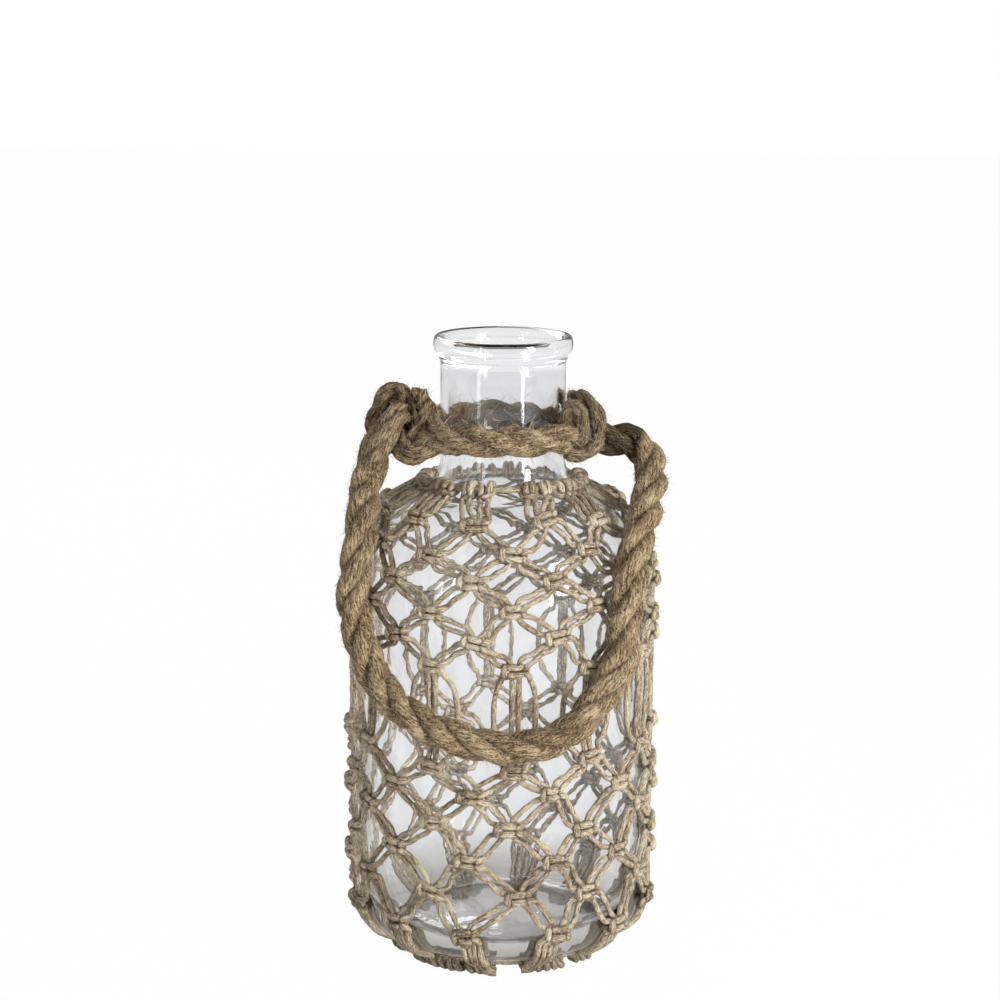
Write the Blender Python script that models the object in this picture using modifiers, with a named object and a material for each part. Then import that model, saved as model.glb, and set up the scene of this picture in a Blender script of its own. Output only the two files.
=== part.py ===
"""Clear glass bottle vase in a knotted jute net, with a rope collar and a rope bail handle.

The frame stands on the floor: +Z is up, the bottle's axis is the Z axis, and -Y faces the viewer.
An azimuth is measured from -Y towards +X. All sizes are in metres and all angles in degrees.
"""

import math
from bisect import bisect_right

import bmesh
import bpy
from mathutils import Matrix, Vector

COLLECTION_NAME = "bottle_vase"
GUIDE_COLLECTION_NAME = "bottle_vase_cutters"

# Gap kept between pieces that touch on the real object
CLEARANCE = 0.0003

# Glass bottle, outside
BODY_RADIUS = 0.0717
HEEL_RADIUS = 0.0210
SHOULDER_START_Z = 0.1860
SHOULDER_RUN = 0.0437
SHOULDER_RISE = 0.0455
NECK_RADIUS = 0.0301
NECK_FILLET = 0.0100
LIP_TOP_Z = 0.3036
LIP_PROUD = 0.0034
LIP_HALF_HEIGHT = 0.0048
LIP_DEPTH = 0.0120

# Glass bottle, inside
WALL = 0.0036
BASE_THICKNESS = 0.0045
INNER_HEEL = 0.0220
NECK_WALL = 0.0035

# Net: jute yarn, knotted in rows of square knots
YARN_WIDTH = 0.0032
YARN_HEIGHT = 0.0030
KNOT_COLUMNS = 12
NET_TURN = -11.0
KNOT_WIDTH = 0.0141
KNOT_HEIGHT = 0.0078
KNOT_DEPTH = 0.0056
KNOT_CREST_INSET = 0.0015
SEAT_LIFT = 0.00045
HEEL_LIFT = 0.00075
FIRST_ROW_RUN = 0.0227
UPPER_PITCH = 0.0132
UPPER_ROWS = 6
LOWER_FIRST_PITCH = 0.0143
LOWER_PITCH_STEP = 0.00115
LOWER_ROWS = 6
LAST_ROW_DROP = 0.0006
PAIR_SPREAD = 0.0056
STRAIGHT_BOW = 0.0120
STRAIGHT_BOW_SHARES = (0.28, 0.72)
TOP_OUTER_BOW = 0.0067
TOP_INNER_BOW = 0.0024

# Holding cord round the foot of the neck, and the loops that hang on it
RING_CORD_RADIUS = 0.0016
LOOP_GAP = 0.0007
LOOP_THICKNESS = 0.0016
LOOP_SHARE = 0.21
LOOP_ANGLES = (205.0, 125.0, 45.0, -35.0)
RING_SEAT_ANGLE = 235.0
TOP_KNOT_RUN = 0.0012
TOP_KNOT_HEIGHT = 0.0050
TOP_KNOT_DEPTH = 0.0046

# Base cord ring under the glass, and the hitches on it that the vase stands on
BASE_CORD_HEIGHT = 0.0034
BASE_CORD_INSET = 0.0007
TAIL_WIDTH = 0.0052
TAIL_DEPTH = 0.0029
TAIL_END_SHARE = 0.93
HITCH_HEIGHT = 0.0040
HITCH_SINK = 0.0006
HITCH_OUTSET = 0.0015
HITCH_HALF_WIDTH = 0.0066
HITCH_HALF_DEPTH = 0.0048

# Rope collar and its two knots
ROPE_RADIUS = 0.0075
COLLAR_RISE = 0.0179
COLLAR_SLACK = 0.0005
KNOT_RISE = 0.0030
KNOT_PROUD_RIGHT = 0.0041
KNOT_PROUD_LEFT = 0.0088
# Each turn: azimuth, outward offset from the collar, half length, half width, half height, tilt
RIGHT_TURNS = (
    (69.0, 0.0015, 0.0068, 0.0098, 0.0148, 10.0),
    (87.0, 0.0025, 0.0070, 0.0112, 0.0162, -12.0),
)
LEFT_TURNS = (
    (-62.0, 0.0020, 0.0066, 0.0105, 0.0160, -12.0),
    (-77.0, 0.0045, 0.0070, 0.0128, 0.0172, 10.0),
    (-92.0, 0.0060, 0.0068, 0.0122, 0.0162, -8.0),
)

# Rope handle, hanging against the front of the net and pivoting on the line between its ends
HANDLE_AXIS_DROP = 0.0035
HANDLE_BEND_RADIUS = 0.0085
HANDLE_LEFT_STUB = 0.0006
HANDLE_RIGHT_STUB = 0.0120
HANDLE_DROP = (0.0, -0.70, -0.71)
HANDLE_POINT_SPACING = 0.020
HANDLE_ROUTE = (
    (-0.0648, -0.0260, 0.2318),
    (-0.0660, -0.0402, 0.2205),
    (-0.0675, -0.0482, 0.2050),
    (-0.0697, -0.0506, 0.1860),
    (-0.0652, -0.0564, 0.1653),
    (-0.0560, -0.0656, 0.1475),
    (-0.0412, -0.0759, 0.1361),
    (-0.0198, -0.0841, 0.1276),
    (0.0065, -0.0862, 0.1242),
    (0.0277, -0.0819, 0.1287),
    (0.0436, -0.0748, 0.1421),
    (0.0550, -0.0667, 0.1594),
    (0.0565, -0.0652, 0.1740),
    (0.0590, -0.0630, 0.1940),
    (0.0622, -0.0520, 0.2110),
    (0.0664, -0.0396, 0.2220),
    (0.0695, -0.0262, 0.2315),
)

# Facets
GLASS_STEPS = 36
RING_STEPS = 36
CORD_SIDES = 6
ROPE_SIDES = 10

# Places that follow from the sizes
BASE_CORD_Z = HITCH_HEIGHT + CLEARANCE + BASE_CORD_HEIGHT / 2
BASE_CORD_RING_RADIUS = BODY_RADIUS - HEEL_RADIUS - BASE_CORD_INSET
GLASS_BASE_Z = HITCH_HEIGHT + 2 * CLEARANCE + BASE_CORD_HEIGHT
COLLAR_RADIUS = NECK_RADIUS + COLLAR_SLACK + ROPE_RADIUS
KNOT_FACE_RIGHT = COLLAR_RADIUS + ROPE_RADIUS + KNOT_PROUD_RIGHT
KNOT_FACE_LEFT = COLLAR_RADIUS + ROPE_RADIUS + KNOT_PROUD_LEFT
KNOT_HALF = (KNOT_WIDTH - CLEARANCE) / 2
COLUMN_STEP = 360.0 / KNOT_COLUMNS
LOOP_AZIMUTH = LOOP_SHARE * COLUMN_STEP


def material(name, colour, roughness, metallic=0.0, transmission=0.0):
    made = bpy.data.materials.new(name)
    made.use_nodes = True
    made.diffuse_color = (*colour, 1.0)
    shader = made.node_tree.nodes["Principled BSDF"]
    shader.inputs["Base Color"].default_value = (*colour, 1.0)
    shader.inputs["Roughness"].default_value = roughness
    shader.inputs["Metallic"].default_value = metallic
    shader.inputs["Transmission Weight"].default_value = transmission
    return made


def add_object(name, mesh, collection, surface_material=None):
    made = bpy.data.objects.new(name, mesh)
    collection.objects.link(made)
    if surface_material:
        mesh.materials.append(surface_material)
    return made


def mesh_from(name, work):
    """Turn a bmesh into a smooth-shaded mesh with its faces pointing out."""
    bmesh.ops.recalc_face_normals(work, faces=work.faces)
    mesh = bpy.data.meshes.new(name)
    work.to_mesh(mesh)
    work.free()
    mesh.shade_smooth()
    mesh.set_sharp_from_angle(angle=math.radians(50.0))
    return mesh


def arc(centre, semi_r, semi_z, start, end, steps):
    """Points (radius, height) on an ellipse's arc, both ends included."""
    points = []
    for step in range(steps + 1):
        angle = math.radians(start + (end - start) * step / steps)
        points.append((centre[0] + semi_r * math.cos(angle), centre[1] + semi_z * math.sin(angle)))
    return points


# Outline of the glass

def shoulder_point(angle):
    centre_r = BODY_RADIUS - SHOULDER_RUN
    return (centre_r + SHOULDER_RUN * math.cos(angle), SHOULDER_START_Z + SHOULDER_RISE * math.sin(angle))


def shoulder_normal(angle):
    normal = Vector((SHOULDER_RISE * math.cos(angle), SHOULDER_RUN * math.sin(angle)))
    return normal.normalized()


def fillet_seat():
    """Shoulder angle and centre of the hollow fillet that joins the shoulder to the neck."""
    low = math.radians(20.0)
    high = math.radians(90.0)
    for _ in range(50):
        angle = (low + high) / 2
        centre_r = shoulder_point(angle)[0] + NECK_FILLET * shoulder_normal(angle).x
        if centre_r > NECK_RADIUS + NECK_FILLET:
            low = angle
        else:
            high = angle
    point = shoulder_point(angle)
    normal = shoulder_normal(angle)
    return angle, (point[0] + NECK_FILLET * normal.x, point[1] + NECK_FILLET * normal.y)


COLLAR_Z = fillet_seat()[1][1] + COLLAR_RISE
HANDLE_AXIS_Z = COLLAR_Z - HANDLE_AXIS_DROP


def outer_shoulder(steps):
    """From the straight neck, round the fillet and over the shoulder to the body wall."""
    end_angle, centre = fillet_seat()
    normal = shoulder_normal(end_angle)
    turn = 180.0 + math.degrees(math.atan2(normal.y, normal.x))
    points = arc(centre, NECK_FILLET, NECK_FILLET, 180.0, turn, max(3, steps // 2))
    shoulder = [shoulder_point(end_angle * (1 - step / steps)) for step in range(1, steps + 1)]
    return points + shoulder


def outer_heel(steps):
    centre = (BODY_RADIUS - HEEL_RADIUS, GLASS_BASE_Z + HEEL_RADIUS)
    return arc(centre, HEEL_RADIUS, HEEL_RADIUS, 0.0, -90.0, steps)


def outer_lip():
    """Rolled lip, from its flat top down to the neck."""
    centre = (NECK_RADIUS + LIP_PROUD - LIP_HALF_HEIGHT, LIP_TOP_Z - LIP_HALF_HEIGHT)
    points = arc(centre, LIP_HALF_HEIGHT, LIP_HALF_HEIGHT, 90.0, -45.0, 5)
    return points + [(NECK_RADIUS, LIP_TOP_Z - LIP_DEPTH)]


def inner_wall():
    """From the middle of the inner floor, up the wall and the neck to the mouth."""
    floor_z = GLASS_BASE_Z + BASE_THICKNESS
    wall_radius = BODY_RADIUS - WALL
    points = [(0.0, floor_z)]
    points += arc((wall_radius - INNER_HEEL, floor_z + INNER_HEEL), INNER_HEEL, INNER_HEEL, -90.0, 0.0, 3)
    end_angle, centre = fillet_seat()
    for step in range(4):
        angle = end_angle * step / 4
        point = shoulder_point(angle)
        normal = shoulder_normal(angle)
        points.append((point[0] - WALL * normal.x, point[1] - WALL * normal.y))
    bore = NECK_RADIUS - NECK_WALL
    crest = outer_lip()[0][0] - bore
    points.append((bore, centre[1]))
    points += arc((bore + crest, LIP_TOP_Z - crest), crest, crest, 180.0, 90.0, 3)[:-1]
    return points


def turned(name, profile, steps, collection, surface_material):
    """A solid of revolution from an open profile whose two ends lie on the axis."""
    work = bmesh.new()
    last = None
    for radius, height in profile:
        vertex = work.verts.new((radius, 0.0, height))
        if last:
            work.edges.new((last, vertex))
        last = vertex
    mesh = bpy.data.meshes.new(name)
    work.to_mesh(mesh)
    work.free()
    made = add_object(name, mesh, collection, surface_material)
    screw = made.modifiers.new("turn", "SCREW")
    screw.steps = steps
    screw.render_steps = steps
    screw.use_merge_vertices = True
    screw.merge_threshold = 0.00001
    screw.use_smooth_shade = True
    return made


def glass_bottle(collection, glass):
    profile = inner_wall() + outer_lip() + outer_shoulder(6) + outer_heel(4)
    profile.append((0.0, GLASS_BASE_Z))
    return turned("glass_bottle", profile, GLASS_STEPS, collection, glass)


# The glass surface as the net sees it

def net_meridian():
    """Dense outline below the fillet: run down the surface, radius, height, outward normal."""
    points = outer_shoulder(60)[30:] + outer_heel(30)
    rows = []
    run = 0.0
    for index, point in enumerate(points):
        before = Vector(points[max(index - 1, 0)])
        after = Vector(points[min(index + 1, len(points) - 1)])
        if index:
            run += (Vector(point) - before).length
        tangent = (after - before).normalized()
        rows.append((run, point[0], point[1], -tangent.y, tangent.x))
    return rows


MERIDIAN = net_meridian()
MERIDIAN_RUNS = [row[0] for row in MERIDIAN]
HEEL_RUN = MERIDIAN_RUNS[-1] - HEEL_RADIUS * math.pi / 2


def surface(run):
    """Radius, height and outward normal of the glass at a run down from the fillet."""
    index = min(max(bisect_right(MERIDIAN_RUNS, run), 1), len(MERIDIAN) - 1)
    before = MERIDIAN[index - 1]
    after = MERIDIAN[index]
    share = (run - before[0]) / max(after[0] - before[0], 1e-9)
    return [before[k] + share * (after[k] - before[k]) for k in range(1, 5)]


def seat_point(azimuth, run, lift, side=0.0):
    """Point over the glass: an azimuth, a run, a lift off the surface and a step to the side."""
    radius, height, normal_r, normal_z = surface(run)
    angle = math.radians(azimuth)
    out = Vector((math.sin(angle), -math.cos(angle), 0.0))
    along = Vector((math.cos(angle), math.sin(angle), 0.0))
    return out * (radius + lift * normal_r) + along * side + Vector((0.0, 0.0, height + lift * normal_z))


def ring_seat():
    """Radius and height of the holding cord's centre line, in the hollow of the neck fillet."""
    centre = fillet_seat()[1]
    reach = NECK_FILLET - (RING_CORD_RADIUS + LOOP_GAP + LOOP_THICKNESS + CLEARANCE)
    angle = math.radians(RING_SEAT_ANGLE)
    return centre[0] + reach * math.cos(angle), centre[1] + reach * math.sin(angle)


def knot_rows():
    """For every row of knots its run, and whether it lies in the yarn's own column or the next."""
    upper = [FIRST_ROW_RUN + UPPER_PITCH * row for row in range(UPPER_ROWS)]
    lower = [HEEL_RUN + LAST_ROW_DROP]
    for row in reversed(range(LOWER_ROWS - 1)):
        lower.append(lower[-1] - LOWER_FIRST_PITCH - LOWER_PITCH_STEP * row)
    in_own_column = [row % 2 == 0 for row in range(UPPER_ROWS)]
    for row in range(LOWER_ROWS):
        in_own_column.append(in_own_column[UPPER_ROWS - 1] == (row % 2 == 0))
    return list(zip(upper + lower[::-1], in_own_column))


# One yarn of the net, drawn with its first knot column at azimuth 0

def skin(work, ring_a, ring_b):
    count = len(ring_a)
    for k in range(count):
        step = (k + 1) % count
        work.faces.new((ring_a[k], ring_a[step], ring_b[step], ring_b[k]))


def knot_block(work, azimuth, run, height, low, high, depth):
    """Half of a square knot. Its top and bottom each give ports for the two strands."""
    middle = (low + high) / 2
    crest_low = low + KNOT_CREST_INSET
    crest_high = high - KNOT_CREST_INSET
    ports = {}
    for name, at in (("top", run - height / 2), ("bottom", run + height / 2)):
        ports[name] = [
            work.verts.new(seat_point(azimuth, at, SEAT_LIFT, low)),
            work.verts.new(seat_point(azimuth, at, SEAT_LIFT, middle)),
            work.verts.new(seat_point(azimuth, at, SEAT_LIFT, high)),
            work.verts.new(seat_point(azimuth, at, SEAT_LIFT + YARN_HEIGHT, crest_high)),
            work.verts.new(seat_point(azimuth, at, SEAT_LIFT + YARN_HEIGHT, crest_low)),
        ]
    ridge_high = work.verts.new(seat_point(azimuth, run, SEAT_LIFT + depth, crest_high))
    ridge_low = work.verts.new(seat_point(azimuth, run, SEAT_LIFT + depth, crest_low))
    t = ports["top"]
    b = ports["bottom"]
    work.faces.new((t[0], t[1], b[1], b[0]))
    work.faces.new((t[1], t[2], b[2], b[1]))
    work.faces.new((t[0], b[0], b[4], ridge_low, t[4]))
    work.faces.new((t[2], t[3], ridge_high, b[3], b[2]))
    work.faces.new((t[4], ridge_low, ridge_high, t[3]))
    work.faces.new((ridge_low, b[4], b[3], ridge_high))
    return ports


def split_port(work, port):
    """Close the notch between the two strands and return each strand's ring of three."""
    left, middle, right, crest_right, crest_left = port
    work.faces.new((crest_left, crest_right, middle))
    return (left, middle, crest_left), (middle, right, crest_right)


def strand_ring(work, azimuth, run, across, offset):
    """Ring of three round a strand, its centre moved by offset along the direction across it."""
    radius = surface(run)[0]

    def at(distance, lift):
        turn = math.degrees(distance * across.x / radius)
        return work.verts.new(seat_point(azimuth + turn, run + distance * across.y, lift))

    half = YARN_WIDTH / 2
    return (at(offset - half, SEAT_LIFT), at(offset + half, SEAT_LIFT), at(offset, SEAT_LIFT + YARN_HEIGHT))


def join_rings(work, rings):
    for ring_a, ring_b in zip(rings, rings[1:]):
        skin(work, ring_a, ring_b)


def ribbon_ring(work, azimuth, run, low, high, lift, depth):
    return [
        work.verts.new(seat_point(azimuth, run, lift, low)),
        work.verts.new(seat_point(azimuth, run, lift, high)),
        work.verts.new(seat_point(azimuth, run, lift + depth, high)),
        work.verts.new(seat_point(azimuth, run, lift + depth, low)),
    ]


def join_ribbon(work, ring, port):
    """Join a ribbon of four corners to a knot's port of five."""
    left, middle, right, crest_right, crest_left = port
    work.faces.new((ring[0], ring[1], right, middle, left))
    work.faces.new((ring[1], ring[2], crest_right, right))
    work.faces.new((ring[2], ring[3], crest_left, crest_right))
    work.faces.new((ring[3], ring[0], left, crest_left))


def loop_rings(work):
    """The yarn's fold, hooked over the holding cord from behind to the front."""
    ring_r, ring_z = ring_seat()
    inner = RING_CORD_RADIUS + LOOP_GAP
    outer = inner + LOOP_THICKNESS
    azimuth = math.radians(LOOP_AZIMUTH)
    out = Vector((math.sin(azimuth), -math.cos(azimuth), 0.0))
    along = Vector((math.cos(azimuth), math.sin(azimuth), 0.0))
    corners = ((inner, -YARN_WIDTH), (inner, YARN_WIDTH), (outer, YARN_WIDTH), (outer, -YARN_WIDTH))
    rings = []
    for degrees in LOOP_ANGLES:
        angle = math.radians(degrees)
        ring = []
        for reach, side in corners:
            point = out * (ring_r + reach * math.cos(angle)) + along * side
            point.z = ring_z + reach * math.sin(angle)
            ring.append(work.verts.new(point))
        rings.append(ring)
    return rings


def yarn_head(work):
    """Fold over the holding cord and the small knot under it. Returns the knot's lower port."""
    rings = loop_rings(work)
    work.faces.new(rings[0])
    join_rings(work, rings)
    run = TOP_KNOT_RUN + TOP_KNOT_HEIGHT / 2
    ports = knot_block(work, LOOP_AZIMUTH, run, TOP_KNOT_HEIGHT, -YARN_WIDTH, YARN_WIDTH, TOP_KNOT_DEPTH)
    join_ribbon(work, rings[-1], ports["top"])
    return ports["bottom"]


def yarn_tail(work, port, column, run_start):
    """Flat pair of strands from the lowest knot over the heel to the hitches on the base cord."""
    azimuth, side = column
    heel_length = HEEL_RADIUS * math.pi / 2 * TAIL_END_SHARE
    run_end = HEEL_RUN + heel_length
    rings = []
    for step in range(1, 5):
        run = HEEL_RUN + heel_length * step / 4
        share = (run - run_start) / (run_end - run_start)
        width = KNOT_HALF + (TAIL_WIDTH - KNOT_HALF) * share
        low, high = sorted((side * CLEARANCE / 2, side * (CLEARANCE / 2 + width)))
        rings.append(ribbon_ring(work, azimuth, run, low, high, HEEL_LIFT, TAIL_DEPTH))
    join_ribbon(work, rings[0], port)
    join_rings(work, rings)
    work.faces.new(rings[-1])


def span_rings(work, start, end):
    """Between two knots one strand runs straight and the other has a mid ring that bows it away."""
    azimuth_a, run_a, side_a = start
    azimuth_b, run_b, side_b = end
    run = (run_a + run_b) / 2
    radius = surface(run)[0]
    from_azimuth = azimuth_a + math.degrees(side_a / surface(run_a)[0])
    to_azimuth = azimuth_b + math.degrees(side_b / surface(run_b)[0])
    lateral = math.radians(to_azimuth - from_azimuth) * radius
    across = Vector((run_b - run_a, -lateral)).normalized()
    azimuth = (from_azimuth + to_azimuth) / 2
    return [], [strand_ring(work, azimuth, run, across, PAIR_SPREAD)]


def straight_rings(work, azimuth, run_a, run_b, sides):
    """Rings of two strands that run straight down: for each, a list of shares and side steps."""
    across = Vector((1.0, 0.0))
    length = run_b - run_a
    made = []
    for steps in sides:
        rings = [strand_ring(work, azimuth, run_a + length * share, across, side) for share, side in steps]
        made.append(rings)
    return made


def yarn_mesh(name):
    """A whole folded yarn: it takes the right half of the knots in its own column and the left
    half of the knots in the next one, and goes back and forth between the two."""
    work = bmesh.new()
    port = yarn_head(work)
    last_run = TOP_KNOT_RUN + TOP_KNOT_HEIGHT
    last_column = None
    for run, in_own_column in knot_rows():
        side = 1.0 if in_own_column else -1.0
        column = (0.0 if in_own_column else COLUMN_STEP / 2, side)
        azimuth = column[0]
        low, high = sorted((side * CLEARANCE / 2, side * (CLEARANCE / 2 + KNOT_HALF)))
        ports = knot_block(work, azimuth, run, KNOT_HEIGHT, low, high, KNOT_DEPTH)
        top_run = run - KNOT_HEIGHT / 2
        if last_column is None:
            sides = (((0.5, TOP_INNER_BOW),), ((0.5, TOP_OUTER_BOW),))
            rings = straight_rings(work, azimuth, last_run, top_run, sides)
        elif column == last_column:
            bowed = tuple((share, side * STRAIGHT_BOW) for share in STRAIGHT_BOW_SHARES)
            inner = ((0.5, side * (CLEARANCE + YARN_WIDTH) / 2),)
            sides = (inner, bowed) if in_own_column else (bowed, inner)
            rings = straight_rings(work, azimuth, last_run, top_run, sides)
        else:
            middle = (CLEARANCE + KNOT_HALF) / 2
            start = (last_column[0], last_run, last_column[1] * middle)
            rings = span_rings(work, start, (azimuth, top_run, side * middle))
        strands_above = split_port(work, port)
        strands_below = split_port(work, ports["top"])
        for above, between, below in zip(strands_above, rings, strands_below):
            join_rings(work, [above, *between, below])
        port = ports["bottom"]
        last_run = run + KNOT_HEIGHT / 2
        last_column = column
    yarn_tail(work, port, last_column, last_run)
    bmesh.ops.triangulate(work, faces=work.faces)
    return mesh_from(name, work)


def hitch_mesh(name):
    """Rounded lump of knotted yarn with a flat foot, at azimuth 0."""
    work = bmesh.new()
    bmesh.ops.create_uvsphere(work, u_segments=8, v_segments=5, radius=1.0)
    half_height = (HITCH_HEIGHT + HITCH_SINK) / 2
    size = Matrix.Diagonal((HITCH_HALF_WIDTH, HITCH_HALF_DEPTH, half_height, 1.0))
    ring_radius = BASE_CORD_RING_RADIUS + HITCH_OUTSET
    centre = Matrix.Translation((0.0, -ring_radius, HITCH_HEIGHT - half_height))
    bmesh.ops.transform(work, matrix=centre @ size, verts=work.verts)
    for vertex in work.verts:
        vertex.co.z = max(vertex.co.z, 0.0)
    return mesh_from(name, work)


def hitches(collection, jute):
    """One hitch under the base cord for every knot column."""
    mesh = hitch_mesh("base_hitch")
    mesh.materials.append(jute)
    first = NET_TURN if knot_rows()[-1][1] else NET_TURN + COLUMN_STEP / 2
    for column in range(KNOT_COLUMNS):
        hitch = add_object(f"base_hitch_{column + 1:02d}", mesh, collection)
        hitch.rotation_euler.z = math.radians(first + COLUMN_STEP * column)


def mirrored_mesh(mesh, name):
    work = bmesh.new()
    work.from_mesh(mesh)
    bmesh.ops.transform(work, matrix=Matrix.Scale(-1.0, 4, (1.0, 0.0, 0.0)), verts=work.verts)
    return mesh_from(name, work)


def net(collection, jute):
    """Twenty-four folded yarns: two for every knot column, mirror images of each other."""
    right = yarn_mesh("yarn_right")
    left = mirrored_mesh(right, "yarn_left")
    for mesh in (right, left):
        mesh.materials.append(jute)
    number = 1
    for column in range(KNOT_COLUMNS):
        for mesh in (left, right):
            yarn = add_object(f"net_yarn_{number:02d}", mesh, collection)
            yarn.rotation_euler.z = math.radians(NET_TURN + COLUMN_STEP * column)
            number += 1


# Cords and rope

def ring_of_cord(name, ring_radius, height, cord_radius, sides, collection, jute):
    bpy.ops.mesh.primitive_torus_add(
        major_segments=RING_STEPS,
        minor_segments=sides,
        major_radius=ring_radius,
        minor_radius=cord_radius,
        location=(0.0, 0.0, height),
    )
    made = bpy.context.active_object
    made.name = name
    for owner in list(made.users_collection):
        owner.objects.unlink(made)
    collection.objects.link(made)
    if jute:
        made.data.materials.append(jute)
    made.data.shade_smooth()
    return made


def as_guide(made):
    made.hide_render = True
    made.display_type = "WIRE"
    return made


def rope_turn(name, turn, collection):
    """One turn of rope in a knot, drawn tight round the collar as a rounded lump."""
    azimuth, outward, half_length, half_width, half_height, tilt = turn
    work = bmesh.new()
    bmesh.ops.create_uvsphere(work, u_segments=12, v_segments=7, radius=1.0)
    angle = math.radians(azimuth)
    reach = COLLAR_RADIUS + outward
    height = COLLAR_Z + KNOT_RISE
    centre = Matrix.Translation((reach * math.sin(angle), -reach * math.cos(angle), height))
    face = Matrix.Rotation(angle, 4, "Z") @ Matrix.Rotation(math.radians(tilt), 4, "Y")
    size = Matrix.Diagonal((half_length, half_width, half_height, 1.0))
    bmesh.ops.transform(work, matrix=centre @ face @ size, verts=work.verts)
    return add_object(name, mesh_from(name, work), collection)


def block(name, low, high, collection):
    work = bmesh.new()
    bmesh.ops.create_cube(work, size=1.0)
    size = Matrix.Diagonal((high[0] - low[0], high[1] - low[1], high[2] - low[2], 1.0))
    middle = Matrix.Translation([(a + b) / 2 for a, b in zip(low, high)])
    bmesh.ops.transform(work, matrix=middle @ size, verts=work.verts)
    return as_guide(add_object(name, mesh_from(name, work), collection))


def boolean(made, operation, cutter):
    step = made.modifiers.new(f"{operation.lower()}_{cutter.name}", "BOOLEAN")
    step.operation = operation
    step.solver = "EXACT"
    step.object = cutter


def collar_knot(name, turns, face, collection, guides, jute, cutters):
    """Knot over the collar. Its outer side is a flat seat for the end of the handle."""
    made = rope_turn(name, turns[0], collection)
    made.data.materials.append(jute)
    for number, turn in enumerate(turns[1:], start=2):
        boolean(made, "UNION", as_guide(rope_turn(f"{name}_turn_{number}", turn, guides)))
    outer = sorted((face, 2 * face))
    low = (outer[0], -KNOT_FACE_LEFT, COLLAR_Z - KNOT_FACE_LEFT)
    high = (outer[1], KNOT_FACE_LEFT, COLLAR_Z + KNOT_FACE_LEFT)
    seat = block(f"{name}_seat", low, high, guides)
    for cutter in (*cutters, seat):
        boolean(made, "DIFFERENCE", cutter)
    return made


def neck_cutter(collection):
    """Turned solid a clearance larger than the neck and its lip, with the same facets as the glass."""
    radius = NECK_RADIUS + CLEARANCE
    lip_radius = radius + LIP_PROUD
    lip_z = LIP_TOP_Z - LIP_DEPTH - CLEARANCE
    top_z = 2 * LIP_TOP_Z
    profile = [(0.0, top_z), (lip_radius, top_z), (lip_radius, lip_z), (radius, lip_z), (radius, 0.0), (0.0, 0.0)]
    return as_guide(turned("neck_cutter", profile, GLASS_STEPS, collection, None))


def end_bend(start, outward, stub):
    """Points from a flat end out along the pivot line and round a right-angled bend."""
    drop = Vector(HANDLE_DROP).normalized()
    out = Vector((outward, 0.0, 0.0))
    points = [Vector(start)]
    for step in range(5):
        angle = math.radians(22.5 * step)
        reach = stub + HANDLE_BEND_RADIUS * math.sin(angle)
        fall = HANDLE_BEND_RADIUS * (1.0 - math.cos(angle))
        points.append(points[0] + out * reach + drop * fall)
    return points


def smooth_run(points, before, after, spacing):
    """Evenly spaced points on the Catmull-Rom curve through a list of points."""
    padded = [before, *points, after]
    dense = []
    for index in range(len(points) - 1):
        a, b, c, d = padded[index:index + 4]
        for step in range(16):
            t = step / 16
            dense.append(0.5 * (
                2 * b + (c - a) * t + (2 * a - 5 * b + 4 * c - d) * t ** 2 + (3 * b - 3 * c + d - a) * t ** 3
            ))
    dense.append(points[-1])
    lengths = [0.0]
    for start, end in zip(dense, dense[1:]):
        lengths.append(lengths[-1] + (end - start).length)
    count = round(lengths[-1] / spacing)
    even = []
    for step in range(count + 1):
        wanted = lengths[-1] * step / count
        index = min(max(bisect_right(lengths, wanted), 1), len(dense) - 1)
        share = (wanted - lengths[index - 1]) / (lengths[index] - lengths[index - 1])
        even.append(dense[index - 1].lerp(dense[index], share))
    return even


def handle_points():
    left = end_bend((-KNOT_FACE_LEFT - CLEARANCE, 0.0, HANDLE_AXIS_Z), -1.0, HANDLE_LEFT_STUB)
    right = end_bend((KNOT_FACE_RIGHT + CLEARANCE, 0.0, HANDLE_AXIS_Z), 1.0, HANDLE_RIGHT_STUB)
    hanging = [left[-1], *(Vector(point) for point in HANDLE_ROUTE), right[-1]]
    middle = smooth_run(hanging, left[-2], right[-2], HANDLE_POINT_SPACING)
    return left[:-1] + middle + right[-2::-1]


def handle_rope(collection, pivot, jute):
    """Rope bail as one tube. Its ends lie on the pivot line, square to the knots' seats."""
    curve = bpy.data.curves.new("handle_rope", "CURVE")
    curve.dimensions = "3D"
    curve.bevel_depth = ROPE_RADIUS
    curve.bevel_resolution = 3
    curve.use_fill_caps = True
    route = handle_points()
    spline = curve.splines.new("POLY")
    spline.points.add(len(route) - 1)
    for point, place in zip(spline.points, route):
        point.co = (*(place - pivot.location), 1.0)
    curve.materials.append(jute)
    made = bpy.data.objects.new("handle_rope", curve)
    collection.objects.link(made)
    made.parent = pivot
    return made


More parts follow.
